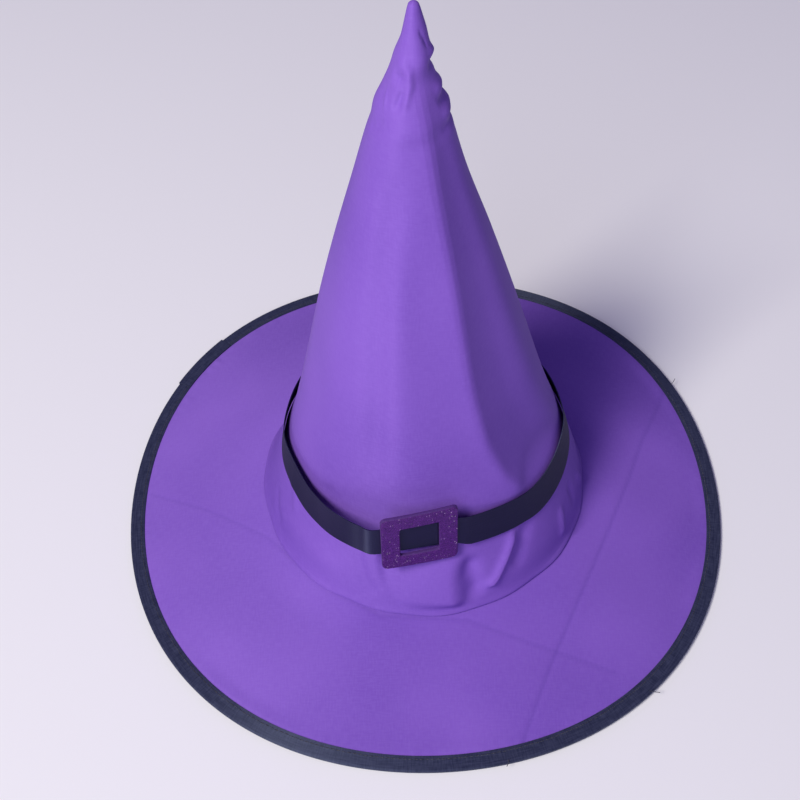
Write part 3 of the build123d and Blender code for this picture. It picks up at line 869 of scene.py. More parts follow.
def makeSweepTree():
    # sweeps a tape's section along the edge, and presses a puckered row of stitches into it
    tree, given = newTree("tapeAlongEdge",
                          [("Section", "Object"), ("Seam place", "Float"), ("Seam width", "Float"),
                                            ("Pucker depth", "Float"), ("Pucker pitch", "Float"),
                                            ("Finish", "Material")])
    run = addNode(tree, "GeometryNodeSplineParameter")
    path = addNode(tree, "GeometryNodeCaptureAttribute", {"Geometry": given["Geometry"]}, domain="POINT")
    path.capture_items.new("FLOAT", "Along")
    tree.links.new(run.outputs["Length"], path.inputs[1])
    section = addNode(tree, "GeometryNodeObjectInfo", {"Object": given["Section"]},
                      transform_space="ORIGINAL")
    spot = addNode(tree, "ShaderNodeSeparateXYZ", {0: addNode(tree, "GeometryNodeInputPosition")})
    girth = addNode(tree, "GeometryNodeCaptureAttribute", {"Geometry": section.outputs["Geometry"]},
                    domain="POINT")
    girth.capture_items.new("FLOAT", "Across")
    tree.links.new(spot.outputs[0], girth.inputs[1])
    swept = addNode(tree, "GeometryNodeCurveToMesh",
                    {"Curve": path, "Profile Curve": girth, "Fill Caps": True})
    turns = addNode(tree, "ShaderNodeMath", {0: path.outputs[1], 1: given["Pucker pitch"]},
                    operation="DIVIDE")
    radians = addNode(tree, "ShaderNodeMath", {0: turns, 1: 2 * math.pi}, operation="MULTIPLY")
    wave = addNode(tree, "ShaderNodeMath", {0: radians}, operation="COSINE")
    raised = addNode(tree, "ShaderNodeMath", {0: wave, 1: 0.45, 2: -0.75}, operation="MULTIPLY_ADD")
    offSeam = addNode(tree, "ShaderNodeMath", {0: girth.outputs[1], 1: given["Seam place"]},
                      operation="SUBTRACT")
    scaled = addNode(tree, "ShaderNodeMath", {0: offSeam, 1: given["Seam width"]}, operation="DIVIDE")
    squared = addNode(tree, "ShaderNodeMath", {0: scaled, 1: scaled}, operation="MULTIPLY")
    negative = addNode(tree, "ShaderNodeMath", {0: squared, 1: -1.0}, operation="MULTIPLY")
    press = addNode(tree, "ShaderNodeMath", {0: negative}, operation="EXPONENT")
    depth = addNode(tree, "ShaderNodeMath", {0: press, 1: given["Pucker depth"]}, operation="MULTIPLY")
    amount = addNode(tree, "ShaderNodeMath", {0: depth, 1: raised}, operation="MULTIPLY")
    sway = addNode(tree, "ShaderNodeVectorMath",
                   {0: addNode(tree, "GeometryNodeInputNormal"), "Scale": amount}, operation="SCALE")
    pressed = addNode(tree, "GeometryNodeSetPosition", {"Geometry": swept, "Offset": sway})
    flat = addNode(tree, "ShaderNodeCombineXYZ", {0: path.outputs[1], 1: girth.outputs[1]})
    mapped = addNode(tree, "GeometryNodeStoreNamedAttribute",
                     {"Geometry": pressed, "Name": "clothUv", "Value": flat},
                     data_type="FLOAT2", domain="CORNER")
    real = addNode(tree, "GeometryNodeRealizeInstances", {"Geometry": mapped})
    coated = addNode(tree, "GeometryNodeSetMaterial", {"Geometry": real, "Material": given["Finish"]})
    addNode(tree, "NodeGroupOutput", {"Geometry": coated})
    return tree


sweepTree = makeSweepTree()


def sweptPiece(name, path, outline, finish, puckers):
    section = profileCurve(name + "Section", outline)
    mesh = runTree(name, path, sweepTree, {
        "Section": section,
        "Seam place": edge["seamFromInner"] * mm,
        "Seam width": edge["seamWidth"] * mm,
        "Pucker depth": puckers * mm,
        "Pucker pitch": edge["puckerPitch"] * mm,
        "Finish": finish,
    })
    bpy.data.objects.remove(section)
    return finishMesh(name, mesh, finish, 50)


def circleOutline(radius, count):
    turns = np.linspace(0, 2 * math.pi, count, endpoint=False)
    return [(radius * math.cos(t), radius * math.sin(t)) for t in turns]


def tapeOutline(inner, outer, bottom, top, thickness, rounding):
    # a U over the edge, drawn outside from below to above and back inside; x is from the tape's inner edge
    def bend(cx, cy, radius, start):
        turns = np.radians(np.linspace(start, start + 90, 5))
        return [(cx + radius * math.cos(t), cy + radius * math.sin(t)) for t in turns]
    lowCorner, topCorner = (outer - rounding, bottom + rounding), (outer - rounding, top - rounding)
    flats = np.linspace(inner, outer - rounding, 12)[:-1]
    low, high = bend(*lowCorner, rounding, -90), bend(*topCorner, rounding, 0)
    outside = [(x, bottom) for x in flats] + low + high + [(x, top) for x in flats[::-1]]
    innerHigh = bend(*topCorner, rounding - thickness, 0)[::-1]
    innerLow = bend(*lowCorner, rounding - thickness, -90)[::-1]
    inside = [(x, top - thickness) for x in flats] + innerHigh + innerLow
    inside = inside + [(x, bottom + thickness) for x in flats[::-1]]
    return outside + inside


tapeU = tapeOutline(0, brim["tapeWidth"], 0, rimThickness, edge["tapeThickness"], edge["foldRound"])
edgeBinding = sweptPiece("edgeBinding", edgePath(rimRadius, 0, edge["lapAngle"], 360, 720, True), tapeU,
                         tapeSatin, edge["puckerDepth"])
lapArc = math.degrees(edge["lapLength"] / edgeRadius)
lapLow, lapHigh = rimThickness - 1.2, rimThickness + edge["gap"] + edge["tapeThickness"]
lapOut = brim["tapeWidth"] + edge["gap"] + edge["tapeThickness"]
lapOutline = ([(lapOut - 0.4, lapLow), (lapOut, lapLow), (lapOut, lapHigh - 0.6),
               (lapOut - 0.18, lapHigh - 0.18), (lapOut - 0.6, lapHigh)]
              + [(x, lapHigh) for x in np.linspace(lapOut - 1.2, 0, 11)]
              + [(x, lapHigh - 0.4) for x in np.linspace(0, lapOut - 1.2, 11)]
              + [(lapOut - 0.7, lapHigh - 0.4), (lapOut - 0.46, lapHigh - 0.46),
                 (lapOut - 0.4, lapHigh - 0.7)])
lapPath = edgePath(rimRadius, 0, edge["lapAngle"] - lapArc / 2, lapArc, 48, False)
bindingLap = sweptPiece("bindingLap", lapPath, lapOutline, tapeSatin, edge["puckerDepth"])
wireGap = math.degrees(edge["wireGap"] / wireRing)
edgeWire = sweptPiece("edgeWire", edgePath(wireRing, rimThickness / 2, edge["lapAngle"] + wireGap / 2,
                                           360 - wireGap, 400, False),
                      circleOutline(edge["wireRadius"], 12), springSteel, 0)
ferruleArc = math.degrees(edge["ferruleLength"] / wireRing)
wireFerrule = sweptPiece("wireFerrule", edgePath(wireRing, rimThickness / 2,
                                                 edge["lapAngle"] - ferruleArc / 2, ferruleArc, 24, False),
                         circleOutline(edge["ferruleRadius"], 20), crimpedAluminium, 0)
print("edge made")


# rows of stitches

def makeStitchTree():
    # one slightly bowed stitch, repeated along a line at the machine's stitch length
    tree, given = newTree("stitchesAlongLine", [("Pitch", "Float"), ("Stitch length", "Float"),
                                                ("Thread radius", "Float"), ("Bow", "Vector"),
                                                ("Wander", "Float"), ("Finish", "Material")])
    points = addNode(tree, "GeometryNodeCurveToPoints",
                     {"Curve": given["Geometry"], "Length": given["Pitch"]}, mode="LENGTH")
    half = addNode(tree, "ShaderNodeMath", {0: given["Stitch length"], 1: 0.5}, operation="MULTIPLY")
    minusHalf = addNode(tree, "ShaderNodeMath", {0: half, 1: -1.0}, operation="MULTIPLY")
    start = addNode(tree, "ShaderNodeCombineXYZ", {0: minusHalf})
    end = addNode(tree, "ShaderNodeCombineXYZ", {0: half})
    startPull = addNode(tree, "ShaderNodeVectorMath", {0: start, 1: given["Bow"]}, operation="ADD")
    endPull = addNode(tree, "ShaderNodeVectorMath", {0: end, 1: given["Bow"]}, operation="ADD")
    bow = addNode(tree, "GeometryNodeCurvePrimitiveBezierSegment",
                  {"Resolution": 5, "Start": start, "Start Handle": startPull, "End Handle": endPull,
                   "End": end},
                  mode="POSITION")
    ring = addNode(tree, "GeometryNodeCurvePrimitiveCircle",
                   {"Resolution": 6, "Radius": given["Thread radius"]}, mode="RADIUS")
    stitch = addNode(tree, "GeometryNodeCurveToMesh",
                     {"Curve": bow, "Profile Curve": ring, "Fill Caps": True})
    turn = addNode(tree, "FunctionNodeAlignRotationToVector", {"Vector": points.outputs["Tangent"]}, axis="X",
                   pivot_axis="Z")
    tilt = addNode(tree, "FunctionNodeRandomValue", {"Min": -0.05, "Max": 0.05, "Seed": 4}, data_type="FLOAT")
    spin = addNode(tree, "ShaderNodeCombineXYZ", {2: tilt.outputs[1]})
    turned = addNode(tree, "FunctionNodeRotateRotation", {"Rotation": turn, "Rotate By": spin},
                     rotation_space="LOCAL")
    low = addNode(tree, "ShaderNodeMath", {0: given["Wander"], 1: -1.0}, operation="MULTIPLY")
    lowVector = addNode(tree, "ShaderNodeCombineXYZ", {0: low, 1: low})
    highVector = addNode(tree, "ShaderNodeCombineXYZ", {0: given["Wander"], 1: given["Wander"]})
    drift = addNode(tree, "FunctionNodeRandomValue", {0: lowVector, 1: highVector, "Seed": 9},
                    data_type="FLOAT_VECTOR")
    spread = addNode(tree, "GeometryNodeSetPosition", {"Geometry": points.outputs["Points"], "Offset": drift})
    placed = addNode(tree, "GeometryNodeInstanceOnPoints",
                     {"Points": spread, "Instance": stitch, "Rotation": turned})
    real = addNode(tree, "GeometryNodeRealizeInstances", {"Geometry": placed})
    coated = addNode(tree, "GeometryNodeSetMaterial", {"Geometry": real, "Material": given["Finish"]})
    addNode(tree, "NodeGroupOutput", {"Geometry": coated})
    return tree


stitchTree = makeStitchTree()
stitchRows = {
    "edge": {"pitch": 3.1, "length": 2.5, "radius": 0.22, "bow": (0, 0, 0.28), "wander": 0.12},
    "opening": {"pitch": 4.2, "length": 3.4, "radius": 0.25, "bow": (0, -0.3, 0), "wander": 0.1},
}


def stitchRow(name, path, row):
    mesh = runTree(name, path, stitchTree, {
        "Pitch": row["pitch"] * mm,
        "Stitch length": row["length"] * mm,
        "Thread radius": row["radius"] * mm,
        "Bow": [b * mm for b in row["bow"]],
        "Wander": row["wander"] * mm,
        "Finish": spunThread,
    })
    return finishMesh(name, mesh, spunThread, 60)


seamRing = rimRadius + edge["seamFromInner"]
seamArc = 360 - lapArc
seamPath = edgePath(seamRing, rimThickness - 0.02, edge["lapAngle"] + lapArc / 2, seamArc, 500, False)
edgeStitches = stitchRow("edgeStitches", seamPath, stitchRows["edge"])
# cut ends of sewing thread that stick out at the edge: angle in plan, length, how far it swings
threadEnds = [(25.0, 5.0, 2.5), (-77.0, 4.0, -2.0), (-49.0, 5.0, 3.0)]
for number, (turn, length, swing) in enumerate(threadEnds):
    a = math.radians(turn)
    outwards, sideways = np.array([math.cos(a), math.sin(a), 0.0]), np.array([-math.sin(a), math.cos(a), 0.0])
    root = plyPoint(np.array([a]), np.array([edgeRadius - 1.5]), 0)[0]
    root[2] = rimThickness + 0.05 + brimLift(np.array([a]), np.array([edgeRadius - 1.5]))[0]
    line = []
    for t in np.linspace(0, 1, 9):
        droop = np.array([0, 0, 1.6 * math.sin(2.2 * t)])
        line.append(root + outwards * length * t + sideways * swing * t * t + droop)
    threadEnd = sweptPiece("threadEnd" + str(number + 1), pathCurve("threadLine", line, False),
                           circleOutline(edge["threadRadius"], 8), spunThread, 0)
    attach(threadEnd, "hat")
openingLow, openingHigh = boxOf("opening_stitch")
openingRing = openingHigh[0] - 0.25
openingTurns = np.linspace(0, 2 * math.pi, 181)[:-1]
openingPath = np.stack([openingRing * np.cos(openingTurns), openingRing * np.sin(openingTurns),
                        np.full(180, (openingLow[2] + openingHigh[2]) / 2)], -1)
openingStitches = stitchRow("openingStitches", pathCurve("openingLine", openingPath), stitchRows["opening"])
print("stitches made")


# sweatband, its lap and the crown's seam allowance

sweatBox = boxOf("sweatband")
sweat = {
    "inner": sweatBox[1][0] - 0.8,
    "outer": sweatBox[1][0],
    "low": sweatBox[0][2],
    "high": sweatBox[1][2],
    "wave": 0.35,
    "lapLength": 15.0,
}


def makeTapeRing(name, inner, outer, low, high, azimuth, around, wave):
    z = np.linspace(low, high, 13)[:, None]
    turn = np.radians(azimuth if not around else azimuth[:-1])[None, :]
    climb = (z - low) / (high - low)
    sag = wave * (np.sin(turn * 11 + 0.6) * (1 - climb) ** 2 + 0.6 * np.sin(turn * 5) * climb)
    crowned = 0.12 * np.cos(climb * 2 * math.pi)

    def side(radius):
        grown = radius + np.minimum(sag + crowned, 0)
        return np.stack(np.broadcast_arrays(grown * np.sin(turn), -grown * np.cos(turn), z), -1)
    rings = np.concatenate([side(outer), side(inner)[::-1]])
    along = np.radians(azimuth if around else np.append(azimuth, azimuth[-1])) * inner
    uv = np.stack(np.broadcast_arrays(along[None, :], np.concatenate([z, z[::-1]])), -1)
    return ringPiece(name, rings, wovenTape, uv, around=around)


sweatTape = makeTapeRing("sweatTape", sweat["inner"], sweat["outer"], sweat["low"], sweat["high"],
                         np.linspace(-180, 180, 301), True, sweat["wave"])
lapHalf = math.degrees(sweat["lapLength"] / 2 / sweat["outer"])
lapBox = boxOf("sweatband_lap")
sweatTapeLap = makeTapeRing("sweatTapeLap", lapBox[1][1] - 0.4, lapBox[1][1], sweat["low"], lapBox[1][2],
                            np.linspace(180 - lapHalf, 180 + lapHalf, 25), False, 0.0)
allowance = {"half": 5.0, "bottom": 30.5, "gap": 0.15, "thickness": 0.9, "ruffle": 0.25}


def makeSeamAllowance():
    # a strip of equal width up the inside of the back seam, so its columns narrow in angle as it climbs
    half, inner = allowance["half"], linerInset + linerThickness + allowance["gap"]
    side = np.linspace(-half, half, 11)[None, :]
    climb = heights((allowance["bottom"], crown["linerTop"], 90))
    rings = []
    for z, inset in [(climb, inner), (climb[::-1], inner + allowance["thickness"])]:
        column = z[:, None]
        azimuth = 180 + np.degrees(side / np.maximum(plainRadius(column), 12))
        ruffle = allowance["ruffle"] * np.sin(column / 7) * (side / half) ** 2 * (inset > inner)
        rings.append(crownPoint(azimuth, column, inset + np.abs(ruffle)))
    rings = np.concatenate(rings)
    along = np.concatenate([climb, climb[::-1]])[:, None]
    uv = np.stack(np.broadcast_arrays(np.append(side, half)[None, :], along), -1)
    return ringPiece("seamAllowance", rings, polyesterTaffeta, uv, around=False)


seamAllowance = makeSeamAllowance()
print("inside made")


# ribbon band

ribbon = {
    "width": 20.0,
    "thickness": 0.5,
    "height": 62.5,
    "tilt": 8.0,
    "yaw": 10.0,
    "flat": 44.0,
    "arcEnds": 35.0,
    "backClearance": 0.8,
    "sideClearance": 1.5,
    "buckleShift": -4.0,
    "buckleReach": 39.0,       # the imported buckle's length, which the flat front has to clear
    "buckleGap": 0.5,
    "lapLength": 22.0,
    "lapGap": 0.15,
    "cup": 0.1,                # its middle stands in by this much
    "glue": 0.3,
    "count": 480,
    "rows": 11,
    "sag": 1.4,                # the buckle's weight pulls the band down there
}
tilt, yaw = math.radians(ribbon["tilt"]), math.radians(ribbon["yaw"])
bandMiddle = float(plainRadius(ribbon["height"]))
sectionFront = bandMiddle / (1 + coneSlope * math.tan(tilt)) / math.cos(tilt)
sectionBack = bandMiddle / (1 - coneSlope * math.tan(tilt)) / math.cos(tilt)
sectionCentre, sectionHalf = (sectionBack - sectionFront) / 2, (sectionBack + sectionFront) / 2
sectionSide = bandMiddle / math.sqrt(1 - (coneSlope * math.tan(tilt)) ** 2)
overhang = (ribbon["buckleReach"] - ribbon["width"]) / 2
frontClearance = ribbon["buckleGap"] + overhang * (coneSlope
                                                   - math.tan(tilt)) - ribbon["thickness"] - ribbon["glue"]
frontClearance = max(ribbon["backClearance"], frontClearance)
sectionReach = math.hypot(sectionSide * math.sin(yaw), sectionHalf * math.cos(yaw))
sectionReach = sectionReach - sectionCentre * math.cos(yaw)
flatY = -(sectionReach + frontClearance - ribbon["buckleShift"] * math.sin(yaw)) / math.cos(yaw)
loopSide, loopHalf = sectionSide + ribbon["sideClearance"], sectionHalf + ribbon["backClearance"]
bandAcross = np.array([1.0, 0.0, 0.0])
bandBack = np.array([0.0, math.cos(tilt), -math.sin(tilt)])
bandUp = np.array([0.0, math.sin(tilt), math.cos(tilt)])


def hermite(start, end, startPull, endPull, count):
    t = np.linspace(0, 1, count, endpoint=False)[:, None]
    return ((2 * t ** 3 - 3 * t ** 2 + 1) * start + (t ** 3 - 2 * t ** 2 + t) * startPull
            + (3 * t ** 2 - 2 * t ** 3) * end + (t ** 3 - t ** 2) * endPull)


def loopPlan():
    # the band's loop in its own plane, evenly spaced, starting at the back
    flatAlong = np.array([math.cos(yaw), math.sin(yaw)])
    middle = np.array([ribbon["buckleShift"], flatY])
    left, right = middle - flatAlong * ribbon["flat"] / 2, middle + flatAlong * ribbon["flat"] / 2
    turns = np.radians(np.linspace(-ribbon["arcEnds"], 180 + ribbon["arcEnds"], 400))
    arc = np.stack([loopSide * np.cos(turns), sectionCentre + loopHalf * np.sin(turns)], -1)
    arcStart, arcEnd = arc[1] - arc[0], arc[-1] - arc[-2]
    reach = np.linalg.norm(arc[0] - right)
    reachLeft = np.linalg.norm(arc[-1] - left)
    pulls = [arcStart / np.linalg.norm(arcStart), arcEnd / np.linalg.norm(arcEnd)]
    toArc = hermite(right, arc[0], flatAlong * reach, pulls[0] * reach, 60)
    toFlat = hermite(arc[-1], left, pulls[1] * reachLeft, flatAlong * reachLeft, 60)
    loop = np.concatenate([arc[200:-1], toFlat, [left, right], toArc[1:], arc[:201]])
    run = np.concatenate([[0], np.cumsum(np.linalg.norm(np.diff(loop, axis=0), axis=1))])
    even = np.linspace(0, run[-1], ribbon["count"] + 1)
    return np.stack([np.interp(even, run, loop[:, k]) for k in range(2)], -1), run[-1]


plan, ribbonLength = loopPlan()
# azimuth, stand-off from the crown's cloth and height, for the ribbon's lower and upper edges
lowerEdge = [(-180, 0.5, 51), (-150, 0.5, 53), (-120, 0.5, 57), (-82, 0.7, 62), (-67, 1.8, 64),
             (-52, 4.3, 64.6), (-43, 7, 67.1), (-36, 10.5, 70.3), (-29, 13.5, 73.1), (-23, 15, 74.1),
             (-17, 15.3, 75.2), (10, 7, 73.3), (14, 5, 71.1), (20, 3, 68.6), (33, 1.2, 65.4),
             (49, 0.7, 62.3), (65, 0.5, 61.8), (77, 0.5, 62.5), (95, 0.5, 61), (130, 0.5, 56),
             (180, 0.5, 51)]
upperEdge = [(-180, 1, 70), (-150, 1.5, 73), (-120, 2, 76), (-95, 3, 80), (-82, 4, 81), (-70, 4, 82),
             (-55, 6, 83.5), (-40, 11.5, 88.9), (-33, 15, 92.3), (-27, 17.3, 93.9), (-21, 18.3, 94.9),
             (-17, 18.3, 95.4), (12, 7.2, 93.8), (15, 6, 92), (22, 3.5, 88.3), (35, 1.5, 83.7),
             (50, 2.2, 81.3), (67, 2.8, 81), (86, 2.8, 81), (98, 2.4, 80), (130, 1.5, 75), (180, 1, 70)]


def clothLine(edge, azimuth):
    off = smoothCurve([(a, o) for a, o, z in edge], azimuth)
    return crownPoint(azimuth, smoothCurve([(a, z) for a, o, z in edge], azimuth), -off)


def ribbonLines():
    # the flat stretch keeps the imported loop's place, and the rest follows the crown's cloth
    packed = plan[:-1, :1] * bandAcross + plan[:-1, 1:] * bandBack + np.array([0, 0, ribbon["height"]])
    azimuth = np.degrees(np.arctan2(packed[:, 0], -packed[:, 1]))
    free = ease((np.abs(azimuth + 4) - 13) / 7)[:, None]
    low = (packed - bandUp * ribbon["sag"]) * (1 - free) + clothLine(lowerEdge, azimuth) * free
    packed = packed - bandUp * ribbon["sag"] * (1 - free)
    high = (packed + bandUp * ribbon["width"]) * (1 - free) + clothLine(upperEdge, azimuth) * free
    rise = high - low
    rise = rise / np.linalg.norm(rise, axis=1)[:, None]
    middle = low + rise * ribbon["width"] / 2
    ahead = np.roll(middle, -1, axis=0) - np.roll(middle, 1, axis=0)
    outward = np.cross(ahead, rise)
    return low, rise, outward / np.linalg.norm(outward, axis=1)[:, None]


bandLow, bandRise, bandOut = ribbonLines()


def ribbonRings(inner, outer, columns, wrap):
    rings = []
    across = []
    shares = np.linspace(0, 1, ribbon["rows"])
    for h, off in [(h, outer) for h in shares] + [(h, inner) for h in shares[::-1]]:
        cupped = off - ribbon["cup"] * math.sin(h * math.pi)
        rings.append(bandLow[columns] + bandRise[columns] * h * ribbon["width"] + bandOut[columns] * cupped)
        across.append(h * ribbon["width"])
    along = np.arange(len(columns) + (1 if wrap else 0)) * ribbonLength / ribbon["count"]
    if not wrap:
        along = np.append(along, along[-1])
    uv = np.stack(np.broadcast_arrays(along[None, :], np.array(across)[:, None]), -1)
    return np.array(rings), uv


bandRings, bandUv = ribbonRings(0.0, ribbon["thickness"], np.arange(ribbon["count"]), True)
ribbonBand = ringPiece("ribbonBand", bandRings, ribbonSatin, bandUv, sharpAngle=40)
lapSpan = round(ribbon["lapLength"] / ribbonLength * ribbon["count"] / 2)
lapColumns = np.arange(-lapSpan, lapSpan + 1) % ribbon["count"]
lapInner = ribbon["thickness"] + ribbon["lapGap"]
lapRings, lapUv = ribbonRings(lapInner, lapInner + ribbon["thickness"], lapColumns, False)
ribbonLap = ringPiece("ribbonLap", lapRings, ribbonSatin, lapUv, around=False, sharpAngle=40)
print("ribbon made,", round(ribbonLength), "mm round")


# buckle

buckle = {
    "width": 43.0,
    "length": 41.0,
    "sideBar": 10.5,
    "endBar": 9.3,
    "drop": 1.2,               # glued a little low on the band
    "foam": 2.0,
    "film": 0.3,
    "corner": 3.2,
    "windowCorner": 1.2,
    "edgeRound": 0.45,
    "bow": 0.7,                # how far the side edges bend back round the crown
    "warp": -0.5,              # two corners lift
    "turn": 3.2,               # cut a little askew
    "flakesPerSquareMm": 2.2,
    "flakeRadius": (0.13, 0.26),
    # share of flakes coloured near white as painted glints
    "paleShare": 0.03,
}
flatNormal = bandAcross * math.sin(yaw) - bandBack * math.cos(yaw)
flatAlong3 = bandAcross * math.cos(yaw) + bandBack * math.sin(yaw)
flatMiddle = (bandAcross * ribbon["buckleShift"] + bandBack * flatY + bandUp * ribbon["width"] / 2
              + np.array([0, 0, ribbon["height"]]))
buckleBack = flatMiddle + flatNormal * (ribbon["thickness"] + ribbon["glue"]) - bandUp * buckle["drop"]


def roundedOutline(width, length, corner, sideSteps, cornerSteps):
    across, up = width / 2 - corner, length / 2 - corner
    centres = [(across, up, 0), (-across, up, 90), (-across, -up, 180), (across, -up, 270)]
    points = []
    for number, (cx, cy, start) in enumerate(centres):
        turns = np.radians(np.linspace(start, start + 90, cornerSteps))
        points += [(cx + corner * math.cos(t), cy + corner * math.sin(t)) for t in turns]
        nx, ny, nextStart = centres[(number + 1) % 4]
        t = math.radians(nextStart)
        goal = (nx + corner * math.cos(t), ny + corner * math.sin(t))
        for step in range(1, sideSteps):
            share = step / sideSteps
            points.append((points[-step][0] * (1 - share) + goal[0] * share,
                           points[-step][1] * (1 - share) + goal[1] * share))
    return np.array(points)


outerOutline = roundedOutline(buckle["width"], buckle["length"], buckle["corner"], 16, 7)
windowOutline = roundedOutline(buckle["width"] - 2 * buckle["sideBar"],
                               buckle["length"] - 2 * buckle["endBar"], buckle["windowCorner"], 16, 7)


def buckleRings(steps):
    # each step: share from the outer outline to the window, pull in from that outline, height above the back
    turn = math.radians(buckle["turn"])
    skewed = flatAlong3 * math.cos(turn) + bandUp * math.sin(turn)
    inwards = windowOutline - outerOutline
    inwards = inwards / np.linalg.norm(inwards, axis=1)[:, None]
    rings = []
    for share, pull, height in steps:
        flat = outerOutline * (1 - share) + windowOutline * share + inwards * pull
        x, y = flat[:, 0], flat[:, 1]
        bowed = height - buckle["bow"] * (np.abs(x) / (buckle["width"] / 2)) ** 2.2 + buckle["bow"] * 0.9
        bowed = bowed + buckle["warp"] * (x / 21.5) * (y / 19.5) * 0.6
        rings.append(buckleBack + x[:, None] * skewed + y[:, None] * bandUp + bowed[:, None] * flatNormal)
    return np.array(rings)


foam, film, rounding = buckle["foam"], buckle["film"], buckle["edgeRound"]
foamSteps = ([(0, 0, 0.0), (0, 0, foam * 0.5), (0, 0, foam - rounding),
              (0, rounding * 0.3, foam - rounding * 0.3), (0, rounding, foam)]
             + [(s, 0, foam) for s in (0.2, 0.35, 0.5, 0.65, 0.8)]
             + [(1, -rounding, foam), (1, -rounding * 0.3, foam - rounding * 0.3), (1, 0, foam - rounding),
                (1, 0, foam * 0.5), (1, 0, 0.0)]
             + [(s, 0, 0.0) for s in (0.8, 0.65, 0.5, 0.35, 0.2)])
buckleFoam = ringPiece("buckleFoam", buckleRings(foamSteps), evaFoam, sharpAngle=60)
filmLow, filmTop = foam + 0.01, foam + film
filmSteps = ([(0, 0.25, filmLow), (0, 0.30, filmLow + film * 0.6), (0, 0.55, filmTop)]
             + [(s, 0, filmTop) for s in (0.12, 0.25, 0.4, 0.6, 0.75, 0.88)]
             + [(1, -0.55, filmTop), (1, -0.30, filmLow + film * 0.6), (1, -0.25, filmLow)]
             + [(s, 0, filmLow) for s in (0.8, 0.6, 0.4, 0.2)])
buckleFilm = ringPiece("buckleFilm", buckleRings(filmSteps), glitterFilm, sharpAngle=60)


def makeGlitterTree():
    # scatters punched flakes over the film, each tipped a little its own way; a share of them get a
    # near-white finish as painted glints
    tree, given = newTree("flakesOverFilm",
                          [("Density", "Float"), ("Smallest", "Float"), ("Largest", "Float"),
                                             ("Thickness", "Float"), ("Pale share", "Float"), ("Seed", "Int"),
                                             ("Finish", "Material"), ("Pale finish", "Material")])
    outward = addNode(tree, "GeometryNodeInputNormal")
    facing = addNode(tree, "ShaderNodeVectorMath", {0: outward, 1: tuple(flatNormal)},
                     operation="DOT_PRODUCT")
    front = addNode(tree, "FunctionNodeCompare", {0: facing.outputs["Value"], 1: 0.8},
                    operation="GREATER_THAN")
    points = addNode(tree, "GeometryNodeDistributePointsOnFaces",
                     {"Mesh": given["Geometry"], "Selection": front, "Density": given["Density"],
                      "Seed": given["Seed"]})
    flake = addNode(tree, "GeometryNodeMeshCylinder",
                    {"Vertices": 6, "Radius": 1.0, "Depth": given["Thickness"]}, fill_type="NGON")
    tip = addNode(tree, "FunctionNodeRandomValue", {0: (-0.35, -0.35, -3.0), 1: (0.35, 0.35, 3.0), "Seed": 3},
                  data_type="FLOAT_VECTOR")
    turned = addNode(tree, "FunctionNodeRotateRotation",
                     {"Rotation": points.outputs["Rotation"], "Rotate By": tip}, rotation_space="LOCAL")
    size = addNode(tree, "FunctionNodeRandomValue",
                   {"Min": given["Smallest"], "Max": given["Largest"], "Seed": 5}, data_type="FLOAT")
    flat = addNode(tree, "ShaderNodeCombineXYZ", {0: size.outputs[1], 1: size.outputs[1], 2: 1.0})
    placed = addNode(tree, "GeometryNodeInstanceOnPoints",
                     {"Points": points.outputs["Points"], "Instance": flake.outputs["Mesh"],
                      "Rotation": turned, "Scale": flat})
    # a random few flakes get the near-white finish, painted glints
    chance = addNode(tree, "FunctionNodeRandomValue", {"Probability": given["Pale share"], "Seed": 8},
                     data_type="BOOLEAN")
    marked = addNode(tree, "GeometryNodeStoreNamedAttribute",
                     {"Geometry": placed, "Name": "pale", "Value": chance.outputs[3]}, data_type="BOOLEAN",
                     domain="INSTANCE")
    real = addNode(tree, "GeometryNodeRealizeInstances", {"Geometry": marked})
    coated = addNode(tree, "GeometryNodeSetMaterial", {"Geometry": real, "Material": given["Finish"]})
    palePick = addNode(tree, "GeometryNodeInputNamedAttribute", {"Name": "pale"}, data_type="BOOLEAN")
    paled = addNode(tree, "GeometryNodeSetMaterial",
                    {"Geometry": coated, "Selection": palePick, "Material": given["Pale finish"]})
    addNode(tree, "NodeGroupOutput", {"Geometry": paled})
    return tree


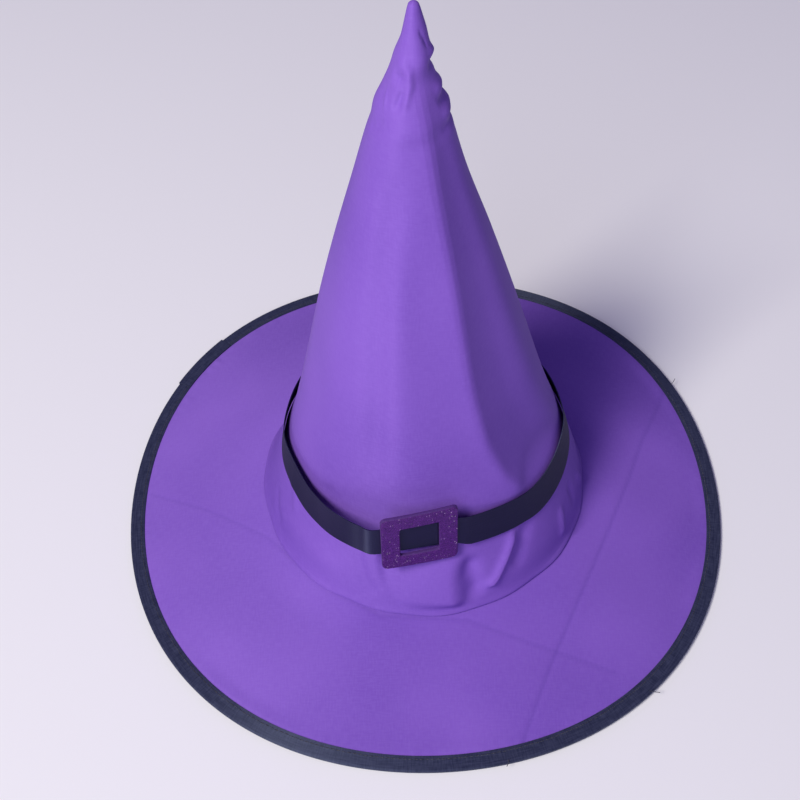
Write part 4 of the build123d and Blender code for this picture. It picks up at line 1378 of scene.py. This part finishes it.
filmCopy = addObject("filmCopy", buckleFilm.data.copy())
flakeMesh = runTree("glitterFlakes", filmCopy, makeGlitterTree(), {
    "Density": buckle["flakesPerSquareMm"] * 1e6,
    "Smallest": buckle["flakeRadius"][0] * mm,
    "Largest": buckle["flakeRadius"][1] * mm,
    "Thickness": 0.04 * mm,
    "Pale share": buckle["paleShare"],
    "Seed": 21,
    "Finish": purpleFlake,
    "Pale finish": paintedGlintFlake,
})
glitterFlakes = addObject("glitterFlakes", flakeMesh)
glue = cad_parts["buckle_glue"]
glue.data.materials.clear()
glue.data.materials.append(setGlue)
print("buckle made,", len(flakeMesh.polygons), "flake faces")


# what each piece rides on and stands for

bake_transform(crownCloth)
hatPieces = [
    (crownLiner, "liner_nonwoven", ("crown_stiffener",)),
    (seamAllowance, "purple_taffeta", ("crown_seam_allowance",)),
    (brimCloth, "purple_taffeta", ("brim_top",)),
    (brimFoam, "brim_foam", ("brim_core",)),
    (brimUnderCloth, "purple_taffeta", ("brim_underside",)),
    (edgeWire, "spring_steel", ("brim_wire",)),
    (wireFerrule, "ferrule_metal", ("wire_ferrule",)),
    (edgeBinding, "navy_satin", ("brim_binding",)),
    (bindingLap, "navy_satin", ("binding_lap",)),
    (edgeStitches, "sewing_thread", ("binding_topstitch",)),
    (openingStitches, "sewing_thread", ("opening_stitch",)),
    (sweatTape, "cotton_tape", ("sweatband",)),
    (sweatTapeLap, "cotton_tape", ("sweatband_lap",)),
]
bandPieces = [
    (ribbonBand, "navy_satin", ("ribbon_band",)),
    (ribbonLap, "navy_satin", ("ribbon_lap",)),
    (buckleFoam, "buckle_foam", ("buckle_frame",)),
    (buckleFilm, "buckle_glitter", ("buckle_glitter",)),
    (glitterFlakes, "buckle_glitter", ()),
]
for body, group in (("hat", hatPieces), ("hat_band", bandPieces)):
    for piece, slotName, nodes in group:
        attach(piece, body)
        if nodes:
            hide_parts(*nodes)
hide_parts("crown_shell", "crown_neck", "crown_tip")

# floor

floorMesh = bpy.data.meshes.new("floor")
half = studio["floorSize"] / 2 * mm
floorZ = -studio["floorDrop"] * mm
corners = [(-half, -half, floorZ), (half, -half, floorZ), (half, half, floorZ), (-half, half, floorZ)]
floorMesh.from_pydata(corners, [], [(0, 1, 2, 3)])
floor = addObject("floor", floorMesh)
paleFloor, tree, shader = newMaterial("paleStudioCard", Roughness=0.9)
shader.inputs["Base Color"].default_value = linear(studio["floorColour"])
floorMesh.materials.append(paleFloor)

print("finished")
